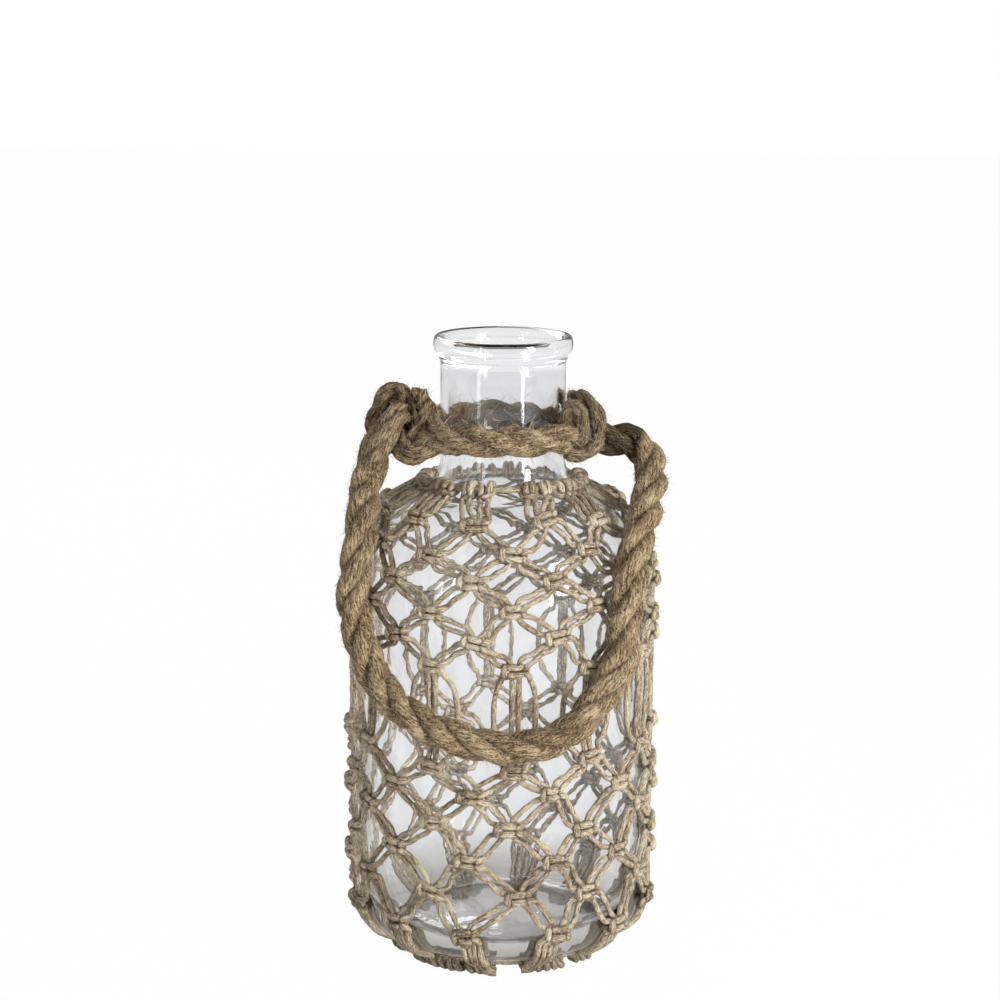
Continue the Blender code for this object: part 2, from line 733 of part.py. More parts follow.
def build():
    for old in list(bpy.data.objects):
        bpy.data.objects.remove(old, do_unlink=True)
    parts = bpy.data.collections.new(COLLECTION_NAME)
    guides = bpy.data.collections.new(GUIDE_COLLECTION_NAME)
    for collection in (parts, guides):
        bpy.context.scene.collection.children.link(collection)

    glass = material("clear_glass", (0.90, 0.92, 0.91), 0.03, transmission=1.0)
    yarn = material("jute_yarn", (0.45, 0.36, 0.25), 0.9)
    rope = material("jute_rope", (0.36, 0.27, 0.18), 0.95)

    glass_bottle(parts, glass)
    ring_radius, ring_z = ring_seat()
    ring_of_cord("neck_ring_cord", ring_radius, ring_z, RING_CORD_RADIUS, CORD_SIDES, parts, yarn)
    ring_of_cord(
        "base_ring_cord",
        BASE_CORD_RING_RADIUS,
        BASE_CORD_Z,
        BASE_CORD_HEIGHT / (2 * math.sin(math.radians(60.0))),
        CORD_SIDES,
        parts,
        yarn,
    )
    hitches(parts, yarn)
    net(parts, yarn)

    ring_of_cord("collar_rope", COLLAR_RADIUS, COLLAR_Z, ROPE_RADIUS, ROPE_SIDES, parts, rope)
    cutters = (
        as_guide(ring_of_cord(
            "collar_cutter", COLLAR_RADIUS, COLLAR_Z, ROPE_RADIUS + CLEARANCE, ROPE_SIDES, guides, None
        )),
        neck_cutter(guides),
    )
    collar_knot("knot_right", RIGHT_TURNS, KNOT_FACE_RIGHT, parts, guides, rope, cutters)
    collar_knot("knot_left", LEFT_TURNS, -KNOT_FACE_LEFT, parts, guides, rope, cutters)

    pivot = bpy.data.objects.new("handle_pivot", None)
    pivot.location = (0.0, 0.0, HANDLE_AXIS_Z)
    parts.objects.link(pivot)
    handle_rope(parts, pivot, rope)


build()
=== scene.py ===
"""Looks of a clear glass bottle vase in a knotted jute net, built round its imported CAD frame.

Metres, +Z up, the bottle's axis on the Z axis, -Y towards the viewer.
An azimuth is in degrees from -Y towards +X. A run is the way down the glass from the foot of the neck.
"""

import math

import bmesh
import bpy
import numpy as np
from mathutils import Matrix, kdtree


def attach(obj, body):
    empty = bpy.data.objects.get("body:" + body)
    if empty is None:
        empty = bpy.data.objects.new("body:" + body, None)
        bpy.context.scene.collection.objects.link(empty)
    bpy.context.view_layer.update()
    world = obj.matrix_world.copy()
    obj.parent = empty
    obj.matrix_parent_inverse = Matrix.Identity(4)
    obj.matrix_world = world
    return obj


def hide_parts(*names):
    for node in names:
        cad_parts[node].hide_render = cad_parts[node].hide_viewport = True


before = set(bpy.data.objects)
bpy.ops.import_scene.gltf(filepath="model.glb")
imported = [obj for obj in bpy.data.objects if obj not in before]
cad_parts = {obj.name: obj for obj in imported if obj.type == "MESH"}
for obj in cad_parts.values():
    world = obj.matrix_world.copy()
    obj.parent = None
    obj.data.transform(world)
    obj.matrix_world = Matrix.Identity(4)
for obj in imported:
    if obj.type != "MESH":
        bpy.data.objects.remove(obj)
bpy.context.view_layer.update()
SEED = 11
MM = 0.001

# Camera, at the photograph's viewing angle
CAMERA_PLACE = (0.0, -1.2074, 0.469)
CAMERA_PITCH = 11.518
CAMERA_ROLL = 0.344
LENS_MM = 91.52
SENSOR_MM = 36.0
SHIFT_X = -0.0024

# Glass, as in the CAD source
BODY_RADIUS = 0.0717
HEEL_RADIUS = 0.0210
SHOULDER_START_Z = 0.1860
SHOULDER_RUN = 0.0437
SHOULDER_RISE = 0.0455
NECK_RADIUS = 0.0301
NECK_FILLET = 0.0160
LIP_TOP_Z = 0.3036
WALL = 0.0036
NECK_WALL = 0.0035
BASE_THICKNESS = 0.0045
INNER_HEEL = 0.0220
GLASS_BASE_Z = 0.0080
GLASS_SEGMENTS = 160
WELD_DISTANCE = 1e-6

# Net, as in the CAD source
KNOT_COLUMNS = 12
COLUMN_STEP = 360.0 / KNOT_COLUMNS
NET_TURN = -11.0
FIRST_ROW_RUN = 0.0227
UPPER_PITCH = 0.0132
UPPER_ROWS = 6
LOWER_FIRST_PITCH = 0.0143
LOWER_PITCH_STEP = 0.00115
LOWER_ROWS = 6
LAST_ROW_DROP = 0.0006
LOOP_AZIMUTH = 6.3
RING_RADIUS = 0.03677
RING_Z = 0.23532
RING_BACK_DROP = 0.0044
RING_BACK_REACH = 0.0027
BASE_CORD_RADIUS = 0.0500
BASE_CORD_Z = 0.0060

# Rope, as in the CAD source
ROPE_RADIUS = 0.0075
COLLAR_RADIUS = 0.0381
COLLAR_Z = 0.257973
HANDLE_ROUTE_MM = (
    (-46, -1, 257.5), (-48.5, -6, 261), (-52.5, -11.5, 262), (-56.3, -15, 258), (-59.6, -18.5, 251.5),
    (-62.5, -22.2, 243), (-64.8, -26, 231.8), (-66, -40.2, 220.5), (-67.5, -48.2, 205), (-69.7, -50.6, 186),
    (-65.2, -56.4, 165.3), (-56, -65.6, 147.5), (-41.2, -75.9, 136.1), (-19.8, -84.1, 127.6),
    (6.5, -86.2, 124.2), (27.7, -81.9, 128.7), (43.6, -74.8, 142.1), (55, -66.7, 159.4), (56.5, -65.2, 174),
    (59, -63, 194), (62.2, -52, 211), (66.4, -39.6, 222), (69.5, -26.2, 231.5), (71, -16.5, 238.3),
    (70.3, -8.5, 244.6), (66.8, -3, 249.8), (60.4, -0.5, 252.7), (52.7, 0, 253.2), (46, 0, 254.5),
)

# Yarn and rope, as they are laid
YARN_RADIUS = 0.00138
YARN_STEP = 0.0011
ROPE_STEP = 0.0012
COLLAR_MIDDLE = COLLAR_RADIUS + 0.0003
COLLAR_LENGTH = 2 * math.pi * COLLAR_MIDDLE
COLLAR_WAVE = 0.0006
FLOOR_GAP = 0.0002
NECK_GAP = 0.0004

# Laid cords by kind, in the order of these inputs
CORD_INPUTS = (
    "Strands", "Strand Offset", "Strand Radius", "Lay Length", "Sides", "Lobes", "Lobe Depth", "Twist Length",
    "Wander", "Roughness",
)
CORDS = {
    "handle": (3, 0.0041, 0.0039, 0.056, 27, 9, 0.055, -0.045, 0.0012, 0.0007),
    "collar": (3, 0.0037, 0.0038, COLLAR_LENGTH / 4, 27, 9, 0.055, -COLLAR_LENGTH / 5, 0.0008, 0.0007),
    "rope knot": (3, 0.0034, 0.0036, 0.050, 27, 9, 0.055, -0.045, 0.0012, 0.0007),
    "yarn": (1, 0.0, YARN_RADIUS, 0.01, 8, 2, 0.07, 0.060, 0.00015, 0.0006),
    "neck cord": (1, 0.0, 0.00155, 0.01, 8, 2, 0.07, 0.060, 0.00015, 0.0006),
    "base cord": (1, 0.0, 0.00165, 0.01, 8, 2, 0.07, 0.060, 0.00015, 0.0006),
}

# How near another strand has to be for painted shade in the creases
NET_CREASE = 0.0010
HITCH_CREASE = 0.0012
KNOT_CREASE = 0.0030

# Distances at which painted shade is full and at which it ends: from the handle's ends, and off the neck
LEFT_END_SHADE = (0.0044, 0.0264)
RIGHT_END_SHADE = (0.021, 0.026)
COLLAR_SHADE = (0.005225, 0.014725)

# Finishes
FIBRE_STOPS = (0.22, 0.50, 0.85)
STRAND_TINTS = (
    (0.0, (0.90, 0.86, 0.82)), (0.35, (1.0, 1.0, 1.0)), (0.65, (0.97, 1.0, 0.96)), (1.0, (1.08, 1.05, 1.02)),
)
ROPE_SHADES = ((0.072, 0.043, 0.019), (0.268, 0.193, 0.107), (0.518, 0.406, 0.262))
YARN_SHADES = ((0.150, 0.108, 0.064), (0.450, 0.368, 0.260), (0.730, 0.645, 0.500))
GLASS_TINT = (0.950, 0.953, 0.962)
# Darker tint of the glass base, up to these heights: partly the thick glass's own tint, partly painted shade
# from under the bottle
GLASS_BASE_TINT = (0.43, 0.415, 0.39)
BASE_TINT_HEIGHTS = (0.009, 0.034)

# Loose hairs by kind, as their finish and then the values in the order of these inputs
HAIR_INPUTS = (
    "Density", "Shortest", "Longest", "Least Lift", "Most Lift", "Thickness", "Stray", "Curl", "Bends",
)
HAIRS = {
    "fibres": ("loose_hair", 280000.0, 0.0010, 0.0028, 0.02, 0.45, 0.00013, 0.65, 0.34, 2),
    "hairs": ("loose_hair", 100000.0, 0.0012, 0.0045, 0.4, 1.8, 0.00006, 0.35, 0.16, 2),
    "strays": ("pale_hair", 60000.0, 0.003, 0.008, 0.5, 2.2, 0.00014, 0.6, 0.22, 4),
    "net hairs": ("pale_hair", 110000.0, 0.0008, 0.0026, 0.1, 1.1, 0.00005, 0.35, 0.16, 2),
    "hitch hairs": ("pale_hair", 200000.0, 0.0008, 0.0032, 0.1, 1.4, 0.00005, 0.35, 0.16, 2),
}


def linked(name, data):
    """A new object in the scene."""
    made = bpy.data.objects.new(name, data)
    bpy.context.scene.collection.objects.link(made)
    return made


def camera():
    data = bpy.data.cameras.new("camera")
    data.sensor_width = SENSOR_MM
    data.lens = LENS_MM
    data.shift_x = SHIFT_X
    made = linked("camera", data)
    look = Matrix.Rotation(math.radians(90.0 - CAMERA_PITCH), 4, "X")
    roll = Matrix.Rotation(math.radians(CAMERA_ROLL), 4, "Z")
    made.matrix_world = Matrix.Translation(CAMERA_PLACE) @ look @ roll
    bpy.context.scene.camera = made


# Points along lines

def evenly(dense, spacing):
    """The same line with its points about one spacing apart."""
    lengths = np.concatenate([[0.0], np.cumsum(np.linalg.norm(np.diff(dense, axis=0), axis=1))])
    count = max(2, round(lengths[-1] / spacing))
    wanted = np.linspace(0.0, lengths[-1], count + 1)
    return np.stack([np.interp(wanted, lengths, dense[:, axis]) for axis in range(3)], axis=1)


def smooth(points, spacing, steps=8):
    """Centripetal Catmull-Rom line through the points, evenly spaced."""
    p = np.asarray(points, float)
    p = np.concatenate([[2 * p[0] - p[1]], p, [2 * p[-1] - p[-2]]])
    gaps = np.sqrt(np.linalg.norm(np.diff(p, axis=0), axis=1))
    knots = np.concatenate([[0.0], np.cumsum(np.maximum(gaps, 1e-6))])
    first = np.arange(len(p) - 3)
    p0, p1, p2, p3 = (p[first + k][:, None, :] for k in range(4))
    t0, t1, t2, t3 = (knots[first + k][:, None, None] for k in range(4))
    t = t1 + (t2 - t1) * (np.arange(steps) / steps)[None, :, None]

    def mix(start, end, low, high):
        return ((high - t) * start + (t - low) * end) / (high - low)

    a1, a2, a3 = mix(p0, p1, t0, t1), mix(p1, p2, t1, t2), mix(p2, p3, t2, t3)
    line = mix(mix(a1, a2, t0, t2), mix(a2, a3, t1, t3), t1, t2)
    return evenly(np.concatenate([line.reshape(-1, 3), p[-2:-1]]), spacing)


def relaxed(line):
    """The line with its inner points drawn towards their neighbours twice."""
    for _ in range(2):
        line[1:-1] = 0.5 * line[1:-1] + 0.25 * (line[:-2] + line[2:])
    return line


# Outline of the glass

def arc(centre, radius, start, end, steps):
    angles = np.radians(np.linspace(start, end, steps + 1))
    return np.stack([centre[0] + radius * np.cos(angles), centre[1] + radius * np.sin(angles)], axis=1)


def shoulder(angle):
    """Point and outward normal of the shoulder's outside at an angle in radians."""
    radius = BODY_RADIUS - SHOULDER_RUN + SHOULDER_RUN * np.cos(angle)
    height = SHOULDER_START_Z + SHOULDER_RISE * np.sin(angle)
    normal = np.stack([SHOULDER_RISE * np.cos(angle), SHOULDER_RUN * np.sin(angle)], axis=-1)
    normal = normal / np.linalg.norm(normal, axis=-1, keepdims=True)
    return np.stack([radius, height], axis=-1), normal


def fillet_seat():
    """Angle at which the shoulder meets the neck's fillet, and the fillet's centre."""
    angles = np.radians(np.linspace(20.0, 90.0, 20001))
    points, normals = shoulder(angles)
    reach = points[:, 0] + NECK_FILLET * normals[:, 0]
    index = int(np.argmin(np.abs(reach - NECK_RADIUS - NECK_FILLET)))
    return angles[index], points[index] + NECK_FILLET * normals[index]


FILLET_ANGLE, FILLET_CENTRE = fillet_seat()
NET_FOOT = (0.03778, 0.23035)


def outer_outline():
    """The outside from under the lip down to the edge of the base, as radius and height."""
    normal = shoulder(FILLET_ANGLE)[1]
    turn = 180.0 + math.degrees(math.atan2(normal[1], normal[0]))
    neck = [(NECK_RADIUS, z) for z in np.linspace(LIP_TOP_Z - 0.016, FILLET_CENTRE[1] + 0.004, 12)]
    fillet = arc(FILLET_CENTRE, NECK_FILLET, 180.0, turn, 16)
    over = shoulder(np.linspace(FILLET_ANGLE, 0.0, 49)[1:])[0]
    wall = [(BODY_RADIUS, z) for z in np.linspace(SHOULDER_START_Z, GLASS_BASE_Z + HEEL_RADIUS, 24)[1:-1]]
    heel = arc((BODY_RADIUS - HEEL_RADIUS, GLASS_BASE_Z + HEEL_RADIUS), HEEL_RADIUS, 0.0, -90.0, 24)
    return np.concatenate([neck, fillet, over, wall, heel])


def meridian():
    """Outline with its run, zero where the fillet ends, and its outward normal."""
    line = outer_outline()
    step = np.gradient(line, axis=0)
    step = step / np.linalg.norm(step, axis=1, keepdims=True)
    run = np.concatenate([[0.0], np.cumsum(np.linalg.norm(np.diff(line, axis=0), axis=1))])
    run -= run[np.argmin(np.linalg.norm(line - NET_FOOT, axis=1))]
    return run, line[:, 0], line[:, 1], -step[:, 1], step[:, 0]


MERIDIAN = meridian()
HEEL_RUN = MERIDIAN[0][-1] - HEEL_RADIUS * math.pi / 2


def glass_radius(run):
    return float(np.interp(run, MERIDIAN[0], MERIDIAN[1]))


def seat(azimuth, run, lift):
    """Point over the glass at an azimuth, a run and a lift off the surface."""
    radius, height, normal_r, normal_z = (np.interp(run, MERIDIAN[0], row) for row in MERIDIAN[1:])
    angle = np.radians(azimuth)
    reach = radius + lift * normal_r
    return np.array([reach * np.sin(angle), -reach * np.cos(angle), height + lift * normal_z])


def ring_seat(azimuth):
    """Radius and height of the holding cord, which lies a little lower on the glass at the back."""
    back = (1.0 - np.cos(np.radians(azimuth))) / 2
    return RING_RADIUS + RING_BACK_REACH * back, RING_Z - RING_BACK_DROP * back


def ring_point(azimuth, radius, height, side=0.0):
    """Point at a radius and height, with a step to the side along the ring."""
    angle = math.radians(azimuth)
    sine, cosine = math.sin(angle), math.cos(angle)
    return np.array([radius * sine + side * cosine, -radius * cosine + side * sine, height])


# Node trees, written as expressions

class Wire:
    """A socket of a node tree. Sums and products of wires and numbers add Math nodes."""

    def __init__(self, tree, socket=None):
        self.tree = tree
        self.socket = socket

    def make(self, kind, inputs=None, output=0, **settings):
        """Add a node of a kind, with its settings first and then its inputs, and return one output."""
        node = self.tree.nodes.new(kind)
        for name, value in settings.items():
            if name == "stops":
                while len(node.color_ramp.elements) < len(value):
                    node.color_ramp.elements.new(0.5)
                for element, (place, colour) in zip(node.color_ramp.elements, value):
                    element.position = place
                    element.color = (*colour, 1.0)
            else:
                setattr(node, name, value)
        for name, value in (inputs or {}).items():
            if isinstance(value, Wire):
                self.tree.links.new(value.socket, node.inputs[name])
            else:
                node.inputs[name].default_value = value
        return Wire(self.tree, node.outputs[output])

    def other(self, output):
        """Another output of the node that this wire leaves."""
        return Wire(self.tree, self.socket.node.outputs[output])

    def maths(self, operation, first, second=0.0):
        return self.make("ShaderNodeMath", {0: first, 1: second}, operation=operation)

    def __add__(self, other):
        return self.maths("ADD", self, other)

    def __sub__(self, other):
        return self.maths("SUBTRACT", self, other)

    def __rsub__(self, other):
        return self.maths("SUBTRACT", other, self)

    def __mul__(self, other):
        return self.maths("MULTIPLY", self, other)

    def __truediv__(self, other):
        return self.maths("DIVIDE", self, other)

    def __rtruediv__(self, other):
        return self.maths("DIVIDE", other, self)

    __radd__ = __add__
    __rmul__ = __mul__

    def highest(self, *others):
        wire = self
        for other in others:
            wire = self.maths("MAXIMUM", wire, other)
        return wire

    def vector(self, operation, other, name=1, output=0):
        """Vector Math between this wire and another vector or number."""
        return self.make("ShaderNodeVectorMath", {0: self, name: other}, output, operation=operation)

    def scaled(self, share):
        return self.vector("SCALE", share, "Scale")

    def ranged(self, low, high, to_low=0.0, to_high=1.0):
        """This wire mapped from one range to another, without going past the ends."""
        values = {"Value": self, "From Min": low, "From Max": high, "To Min": to_low, "To Max": to_high}
        return self.make("ShaderNodeMapRange", values)

    def noise(self, scale, detail=2.0, output="Fac"):
        return self.make("ShaderNodeTexNoise", {"Vector": self, "Scale": scale, "Detail": detail}, output)

    def shaken(self, scale, detail, reach):
        """A vector that wanders to all sides with the place that this wire gives."""
        return self.noise(scale, detail, "Color").vector("SUBTRACT", (0.5, 0.5, 0.5)).scaled(reach)

    def geo(self, kind, inputs=None, output=0, **settings):
        return self.make("GeometryNode" + kind, inputs, output, **settings)

    def moved(self, value, name="Offset"):
        """This geometry, its points moved by an offset or to a position."""
        return self.geo("SetPosition", {"Geometry": self, name: value})

    def stored(self, name, value, kind="FLOAT"):
        """This geometry, with a named attribute on its points."""
        inputs = {"Geometry": self, "Name": name, "Value": value}
        return self.geo("StoreNamedAttribute", inputs, data_type=kind, domain="POINT")

    def named(self, name, kind="FLOAT"):
        return self.geo("InputNamedAttribute", {"Name": name}, data_type=kind)

    def random(self, low, high, seed):
        return self.make("FunctionNodeRandomValue", {2: low, 3: high, "Seed": seed}, 1, data_type="FLOAT")

    def attribute(self, name, output="Fac"):
        return self.make("ShaderNodeAttribute", output=output, attribute_name=name)

    def ray(self, kind):
        return self.make("ShaderNodeLightPath", output=f"Is {kind} Ray")


def blend_colour(wire, share, first, second, mode="MIX"):
    """Mix of two colours, each a wire or a tuple."""
    first, second = (colour if isinstance(colour, Wire) else (*colour, 1.0) for colour in (first, second))
    return wire.make("ShaderNodeMix", {0: share, 6: first, 7: second}, 2, data_type="RGBA", blend_type=mode)


def new_tree(name, **labels):
    """The input wires of a new geometry tree, by name, from the names given for each kind of socket."""
    tree = bpy.data.node_groups.new(name, "GeometryNodeTree")
    for kind, names in (("Geometry", ("Geometry",)), *labels.items(), ("Material", ("Material",))):
        for label in names:
            tree.interface.new_socket(label, in_out="INPUT", socket_type="NodeSocket" + kind)
    tree.interface.new_socket("Geometry", in_out="OUTPUT", socket_type="NodeSocketGeometry")
    start = tree.nodes.new("NodeGroupInput")
    return {socket.name: Wire(tree, socket) for socket in start.outputs if socket.name}


def end_tree(geometry, material):
    """Close a tree, with real instances, smooth shading and the material."""
    whole = geometry.geo("RealizeInstances", {"Geometry": geometry})
    whole = geometry.geo("SetShadeSmooth", {"Geometry": whole})
    whole = geometry.geo("SetMaterial", {"Geometry": whole, "Material": material})
    output = geometry.tree.nodes.new("NodeGroupOutput")
    geometry.tree.links.new(whole.socket, output.inputs["Geometry"])


def laid_cord_tree():
    """Cord laid from strands round each line, each strand a lobed and twisted tube."""
    given = new_tree("laid_cord", Int=("Strands", "Sides", "Lobes"), Float=(
        "Strand Offset", "Strand Radius", "Lay Length", "Lobe Depth", "Twist Length", "Wander", "Roughness"))
    wire = given["Geometry"]
    turn = 2 * math.pi
    place, normal, tangent = (wire.geo(kind) for kind in ("InputPosition", "InputNormal", "InputTangent"))
    line = wire.geo("MeshToCurve", {"Mesh": wire})
    line = line.stored("run", wire.geo("SplineParameter", output="Length"))
    line = line.stored("middle", place, "FLOAT_VECTOR")
    strands = wire.geo("DuplicateElements", {"Geometry": line, "Amount": given["Strands"]}, domain="SPLINE")
    number = strands.other("Duplicate Index")
    run = wire.named("run")
    size = wire.named("size")
    angle = (run / given["Lay Length"] + number / given["Strands"]) * turn
    out = wire.make("ShaderNodeVectorRotate", {"Vector": normal, "Axis": tangent, "Angle": angle})
    strands = strands.moved(out.scaled(given["Strand Offset"] * size))
    strands = strands.moved(place.shaken(160.0, 1.0, given["Wander"]))
    strands = wire.geo("SetCurveTilt", {"Curve": strands, "Tilt": run / given["Twist Length"] * turn})
    strands = strands.stored("way", tangent, "FLOAT_VECTOR")
    strands = strands.stored("tone", wire.maths("FRACT", wire.named("tone") + number * 0.37))

    ring = wire.geo("CurvePrimitiveCircle", {"Resolution": given["Sides"], "Radius": 1.0}, mode="RADIUS")
    ring = ring.stored("ring", place, "FLOAT_VECTOR")
    around = wire.geo("SplineParameter", output="Factor") * turn
    lobe = wire.maths("COSINE", around * given["Lobes"]) * given["Lobe Depth"] + 1.0
    ring = ring.moved(place.scaled(lobe), "Position")

    scale = place.noise(110.0).ranged(0.3, 0.7, 0.92, 1.08) * given["Strand Radius"] * size
    tube = {"Curve": strands, "Profile Curve": ring, "Scale": scale, "Fill Caps": True}
    tube = wire.geo("CurveToMesh", tube)
    along = wire.make("ShaderNodeCombineXYZ", {"Z": run})
    across = wire.named("ring", "FLOAT_VECTOR").scaled(given["Strand Radius"])
    tube = tube.stored("lay", across.vector("ADD", along), "FLOAT_VECTOR")
    bundles = wire.named("lay", "FLOAT_VECTOR").vector("MULTIPLY", (420.0, 420.0, 90.0))
    lumps = bundles.noise(1.0) + place.noise(420.0) - 1.0
    tube = tube.moved(normal.scaled(lumps * given["Roughness"]))
    # Distance from the cord's middle, which sets the painted shade in the grooves
    tube = tube.stored("reach", place.vector("DISTANCE", wire.named("middle", "FLOAT_VECTOR"), 1, "Value"))
    for name in ("run", "ring", "middle", "size"):
        tube = wire.geo("RemoveAttribute", {"Geometry": tube, "Name": name})
    end_tree(tube, given["Material"])


def loose_fibre_tree():
    """Fine bent hairs that lie along the strands, lifted by some share, and fewer in the creases."""
    given = new_tree("loose_fibres", Int=("Bends", "Seed"), Float=(
        "Density", "Shortest", "Longest", "Thickness", "Least Lift", "Most Lift", "Stray", "Curl"))
    wire, seed, curl = given["Geometry"], given["Seed"], given["Curl"]
    density = given["Density"] * (1.0 - wire.named("crease") * 0.85)
    spread = wire.geo("DistributePointsOnFaces", {"Mesh": wire, "Density": density, "Seed": seed})
    sign = wire.maths("SIGN", wire.random(-1.0, 1.0, seed + 1))
    lift = wire.random(given["Least Lift"], given["Most Lift"], seed + 2)
    sides = {"Min": (-1.0, -1.0, -1.0), "Max": (1.0, 1.0, 1.0), "Seed": seed + 3}
    stray = wire.make("FunctionNodeRandomValue", sides, data_type="FLOAT_VECTOR").scaled(given["Stray"])
    outward = {"Vector": (0.0, 0.0, 1.0), "Rotation": spread.other("Rotation")}
    outward = wire.make("FunctionNodeRotateVector", outward).scaled(lift)
    heading = wire.named("way", "FLOAT_VECTOR").scaled(sign).vector("ADD", outward).vector("ADD", stray)
    turned = wire.make("FunctionNodeAlignRotationToVector", {"Vector": heading}, axis="Z")
    about = wire.make("ShaderNodeCombineXYZ", {"Z": wire.random(-math.pi, math.pi, seed)})
    about = wire.make("FunctionNodeEulerToRotation", {"Euler": about})
    turned = wire.make("FunctionNodeRotateRotation", {"Rotation": turned, "Rotate By": about},
                       rotation_space="LOCAL")
    length = wire.random(given["Shortest"], given["Longest"], seed)
    middle = wire.make("ShaderNodeCombineXYZ", {"Y": curl, "Z": 0.5})
    end = wire.make("ShaderNodeCombineXYZ", {"X": curl * 0.6, "Y": curl * -0.75, "Z": 1.0})
    hair = {"Resolution": given["Bends"], "Start": (0.0, 0.0, -0.08), "Middle": middle, "End": end}
    hair = wire.geo("CurveQuadraticBezier", hair)
    hairs = {"Points": spread, "Instance": hair, "Rotation": turned, "Scale": length}
    hairs = wire.geo("RealizeInstances", {"Geometry": wire.geo("InstanceOnPoints", hairs)})
    thick = (1.0 - wire.geo("SplineParameter", output="Factor") * 0.6) * given["Thickness"]
    section = wire.geo("CurvePrimitiveCircle", {"Resolution": 3, "Radius": 1.0}, mode="RADIUS")
    tubes = {"Curve": hairs, "Profile Curve": section, "Scale": thick, "Fill Caps": True}
    end_tree(wire.geo("CurveToMesh", tubes), given["Material"])


def turned_glass_tree():
    """A profile of points turned round the Z axis, its seam and its poles welded."""
    given = new_tree("turned_glass", Int=("Segments",), Float=("Weld",))
    wire = given["Geometry"]
    rows = wire.geo("AttributeDomainSize", {"Geometry": wire}, "Point Count", component="MESH")
    grid = {"Size X": 1.0, "Size Y": 1.0, "Vertices X": given["Segments"] + 1, "Vertices Y": rows}
    index = wire.geo("InputIndex")
    point = {"Geometry": wire, "Value": wire.geo("InputPosition"), "Index": wire.maths("MODULO", index, rows)}
    point = wire.geo("SampleIndex", point, data_type="FLOAT_VECTOR", domain="POINT")
    angle = wire.maths("FLOOR", (index + 0.5) / rows) / given["Segments"] * (2 * math.pi)
    spun = wire.make("ShaderNodeVectorRotate", {"Vector": point, "Angle": angle}, rotation_type="Z_AXIS")
    shell = wire.geo("MeshGrid", grid).moved(spun, "Position")
    shell = wire.geo("MergeByDistance", {"Geometry": shell, "Distance": given["Weld"]})
    end_tree(shell, given["Material"])


# Pieces

def store(mesh, name, values):
    """Store one number for each point of a mesh."""
    attribute = mesh.attributes.new(name, "FLOAT", "POINT")
    attribute.data.foreach_set("value", values.astype(np.float32))


def polyline_mesh(name, lines, sizes=None, closed=False):
    """A mesh of loose edges along the lines, with each point's size and each line's tone."""
    points = np.concatenate(lines)
    edges = []
    start = 0
    for line in lines:
        end = start + len(line)
        edges += [(k, k + 1) for k in range(start, end - 1)]
        if closed:
            edges.append((end - 1, start))
        start = end
    mesh = bpy.data.meshes.new(name)
    mesh.from_pydata([tuple(point) for point in points], edges, [])
    store(mesh, "size", np.ones(len(points)) if sizes is None else np.concatenate(sizes))
    shades = np.random.default_rng(SEED + len(points)).uniform(0.0, 1.0, len(lines))
    store(mesh, "tone", np.concatenate([np.full(len(line), shade) for line, shade in zip(lines, shades)]))
    return mesh


def grown(name, source, tree_name, finish, values):
    """A plain mesh object: the source mesh run through a tree, in a finish."""
    values["Material"] = bpy.data.materials[finish + "_finish"]
    tree = bpy.data.node_groups[tree_name]
    holder = linked(name + "_source", source)
    step = holder.modifiers.new("grow", "NODES")
    step.node_group = tree
    for socket in tree.interface.items_tree:
        if socket.in_out == "INPUT" and socket.name in values:
            step[socket.identifier] = values[socket.name]
    depsgraph = bpy.context.evaluated_depsgraph_get()
    mesh = bpy.data.meshes.new_from_object(holder.evaluated_get(depsgraph), depsgraph=depsgraph)
    mesh.name = name
    bpy.data.objects.remove(holder)
    return linked(name, mesh)


def laid(name, kind, finish, lines, sizes=None, closed=False):
    """Cord of one kind laid along the lines."""
    mesh = polyline_mesh(name + "_lines", lines, sizes, closed)
    return grown(name, mesh, "laid_cord", finish, dict(zip(CORD_INPUTS, CORDS[kind])))


def dressed(made, body, slot, *nodes):
    """Tie a finished piece to its body and hide the CAD nodes that it replaces. Its slot is not used."""
    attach(made, body)
    if nodes:
        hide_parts(*nodes)
    return made


def vertices_of(made):
    """A piece's vertices, one row each."""
    co = np.zeros(len(made.data.vertices) * 3, np.float32)
    made.data.vertices.foreach_get("co", co)
    return co.reshape(-1, 3).astype(float)


def put_vertices(made, co):
    made.data.vertices.foreach_set("co", co.astype(np.float32).ravel())
    made.data.update()


def keep_above_floor(made):
    """Press whatever would go under the floor flat on it."""
    co = vertices_of(made)
    co[:, 2] = np.maximum(co[:, 2], FLOOR_GAP)
    put_vertices(made, co)


def press_on_neck(made):
    """Flatten what would go into the glass neck against it."""
    co = vertices_of(made)
    reach = np.maximum(np.hypot(co[:, 0], co[:, 1]), 1e-6)
    co[:, :2] *= np.maximum(1.0, (NECK_RADIUS + NECK_GAP) / reach)[:, None]
    put_vertices(made, co)


def paint_crease_shade(made, lines, sizes, radius, margin, least_shade=0.0):
    """Store how close each vertex of a laid piece is to another strand's surface, as 1 where they touch. It
    is painted shade in the creases, and no vertex gets less than the least shade given.
    """
    tree = kdtree.KDTree(sum(len(line) for line in lines))
    spots = []
    for number, (line, size) in enumerate(zip(lines, sizes)):
        for step, point in enumerate(line):
            tree.insert(point, len(spots))
            spots.append((number, step, radius * size[step]))
    tree.balance()
    values = np.full(len(made.data.vertices), least_shade)
    step_length = np.linalg.norm(lines[0][1] - lines[0][0])
    widest = radius * max(size.max() for size in sizes)
    for vertex in made.data.vertices:
        near = [(distance - spots[index][2], *spots[index])
                for _, index, distance in tree.find_range(vertex.co, widest + margin)]
        if near:
            _, own_line, own_step, own_radius = min(near, key=lambda found: found[0])
            apart = 3.0 * own_radius / step_length
            gaps = [gap for gap, number, step, _ in near
                    if number != own_line or abs(step - own_step) > apart]
            if gaps:
                values[vertex.index] = min(1.0, max(least_shade, 1.0 - min(gaps) / margin))
    store(made.data, "crease", values)


# Materials

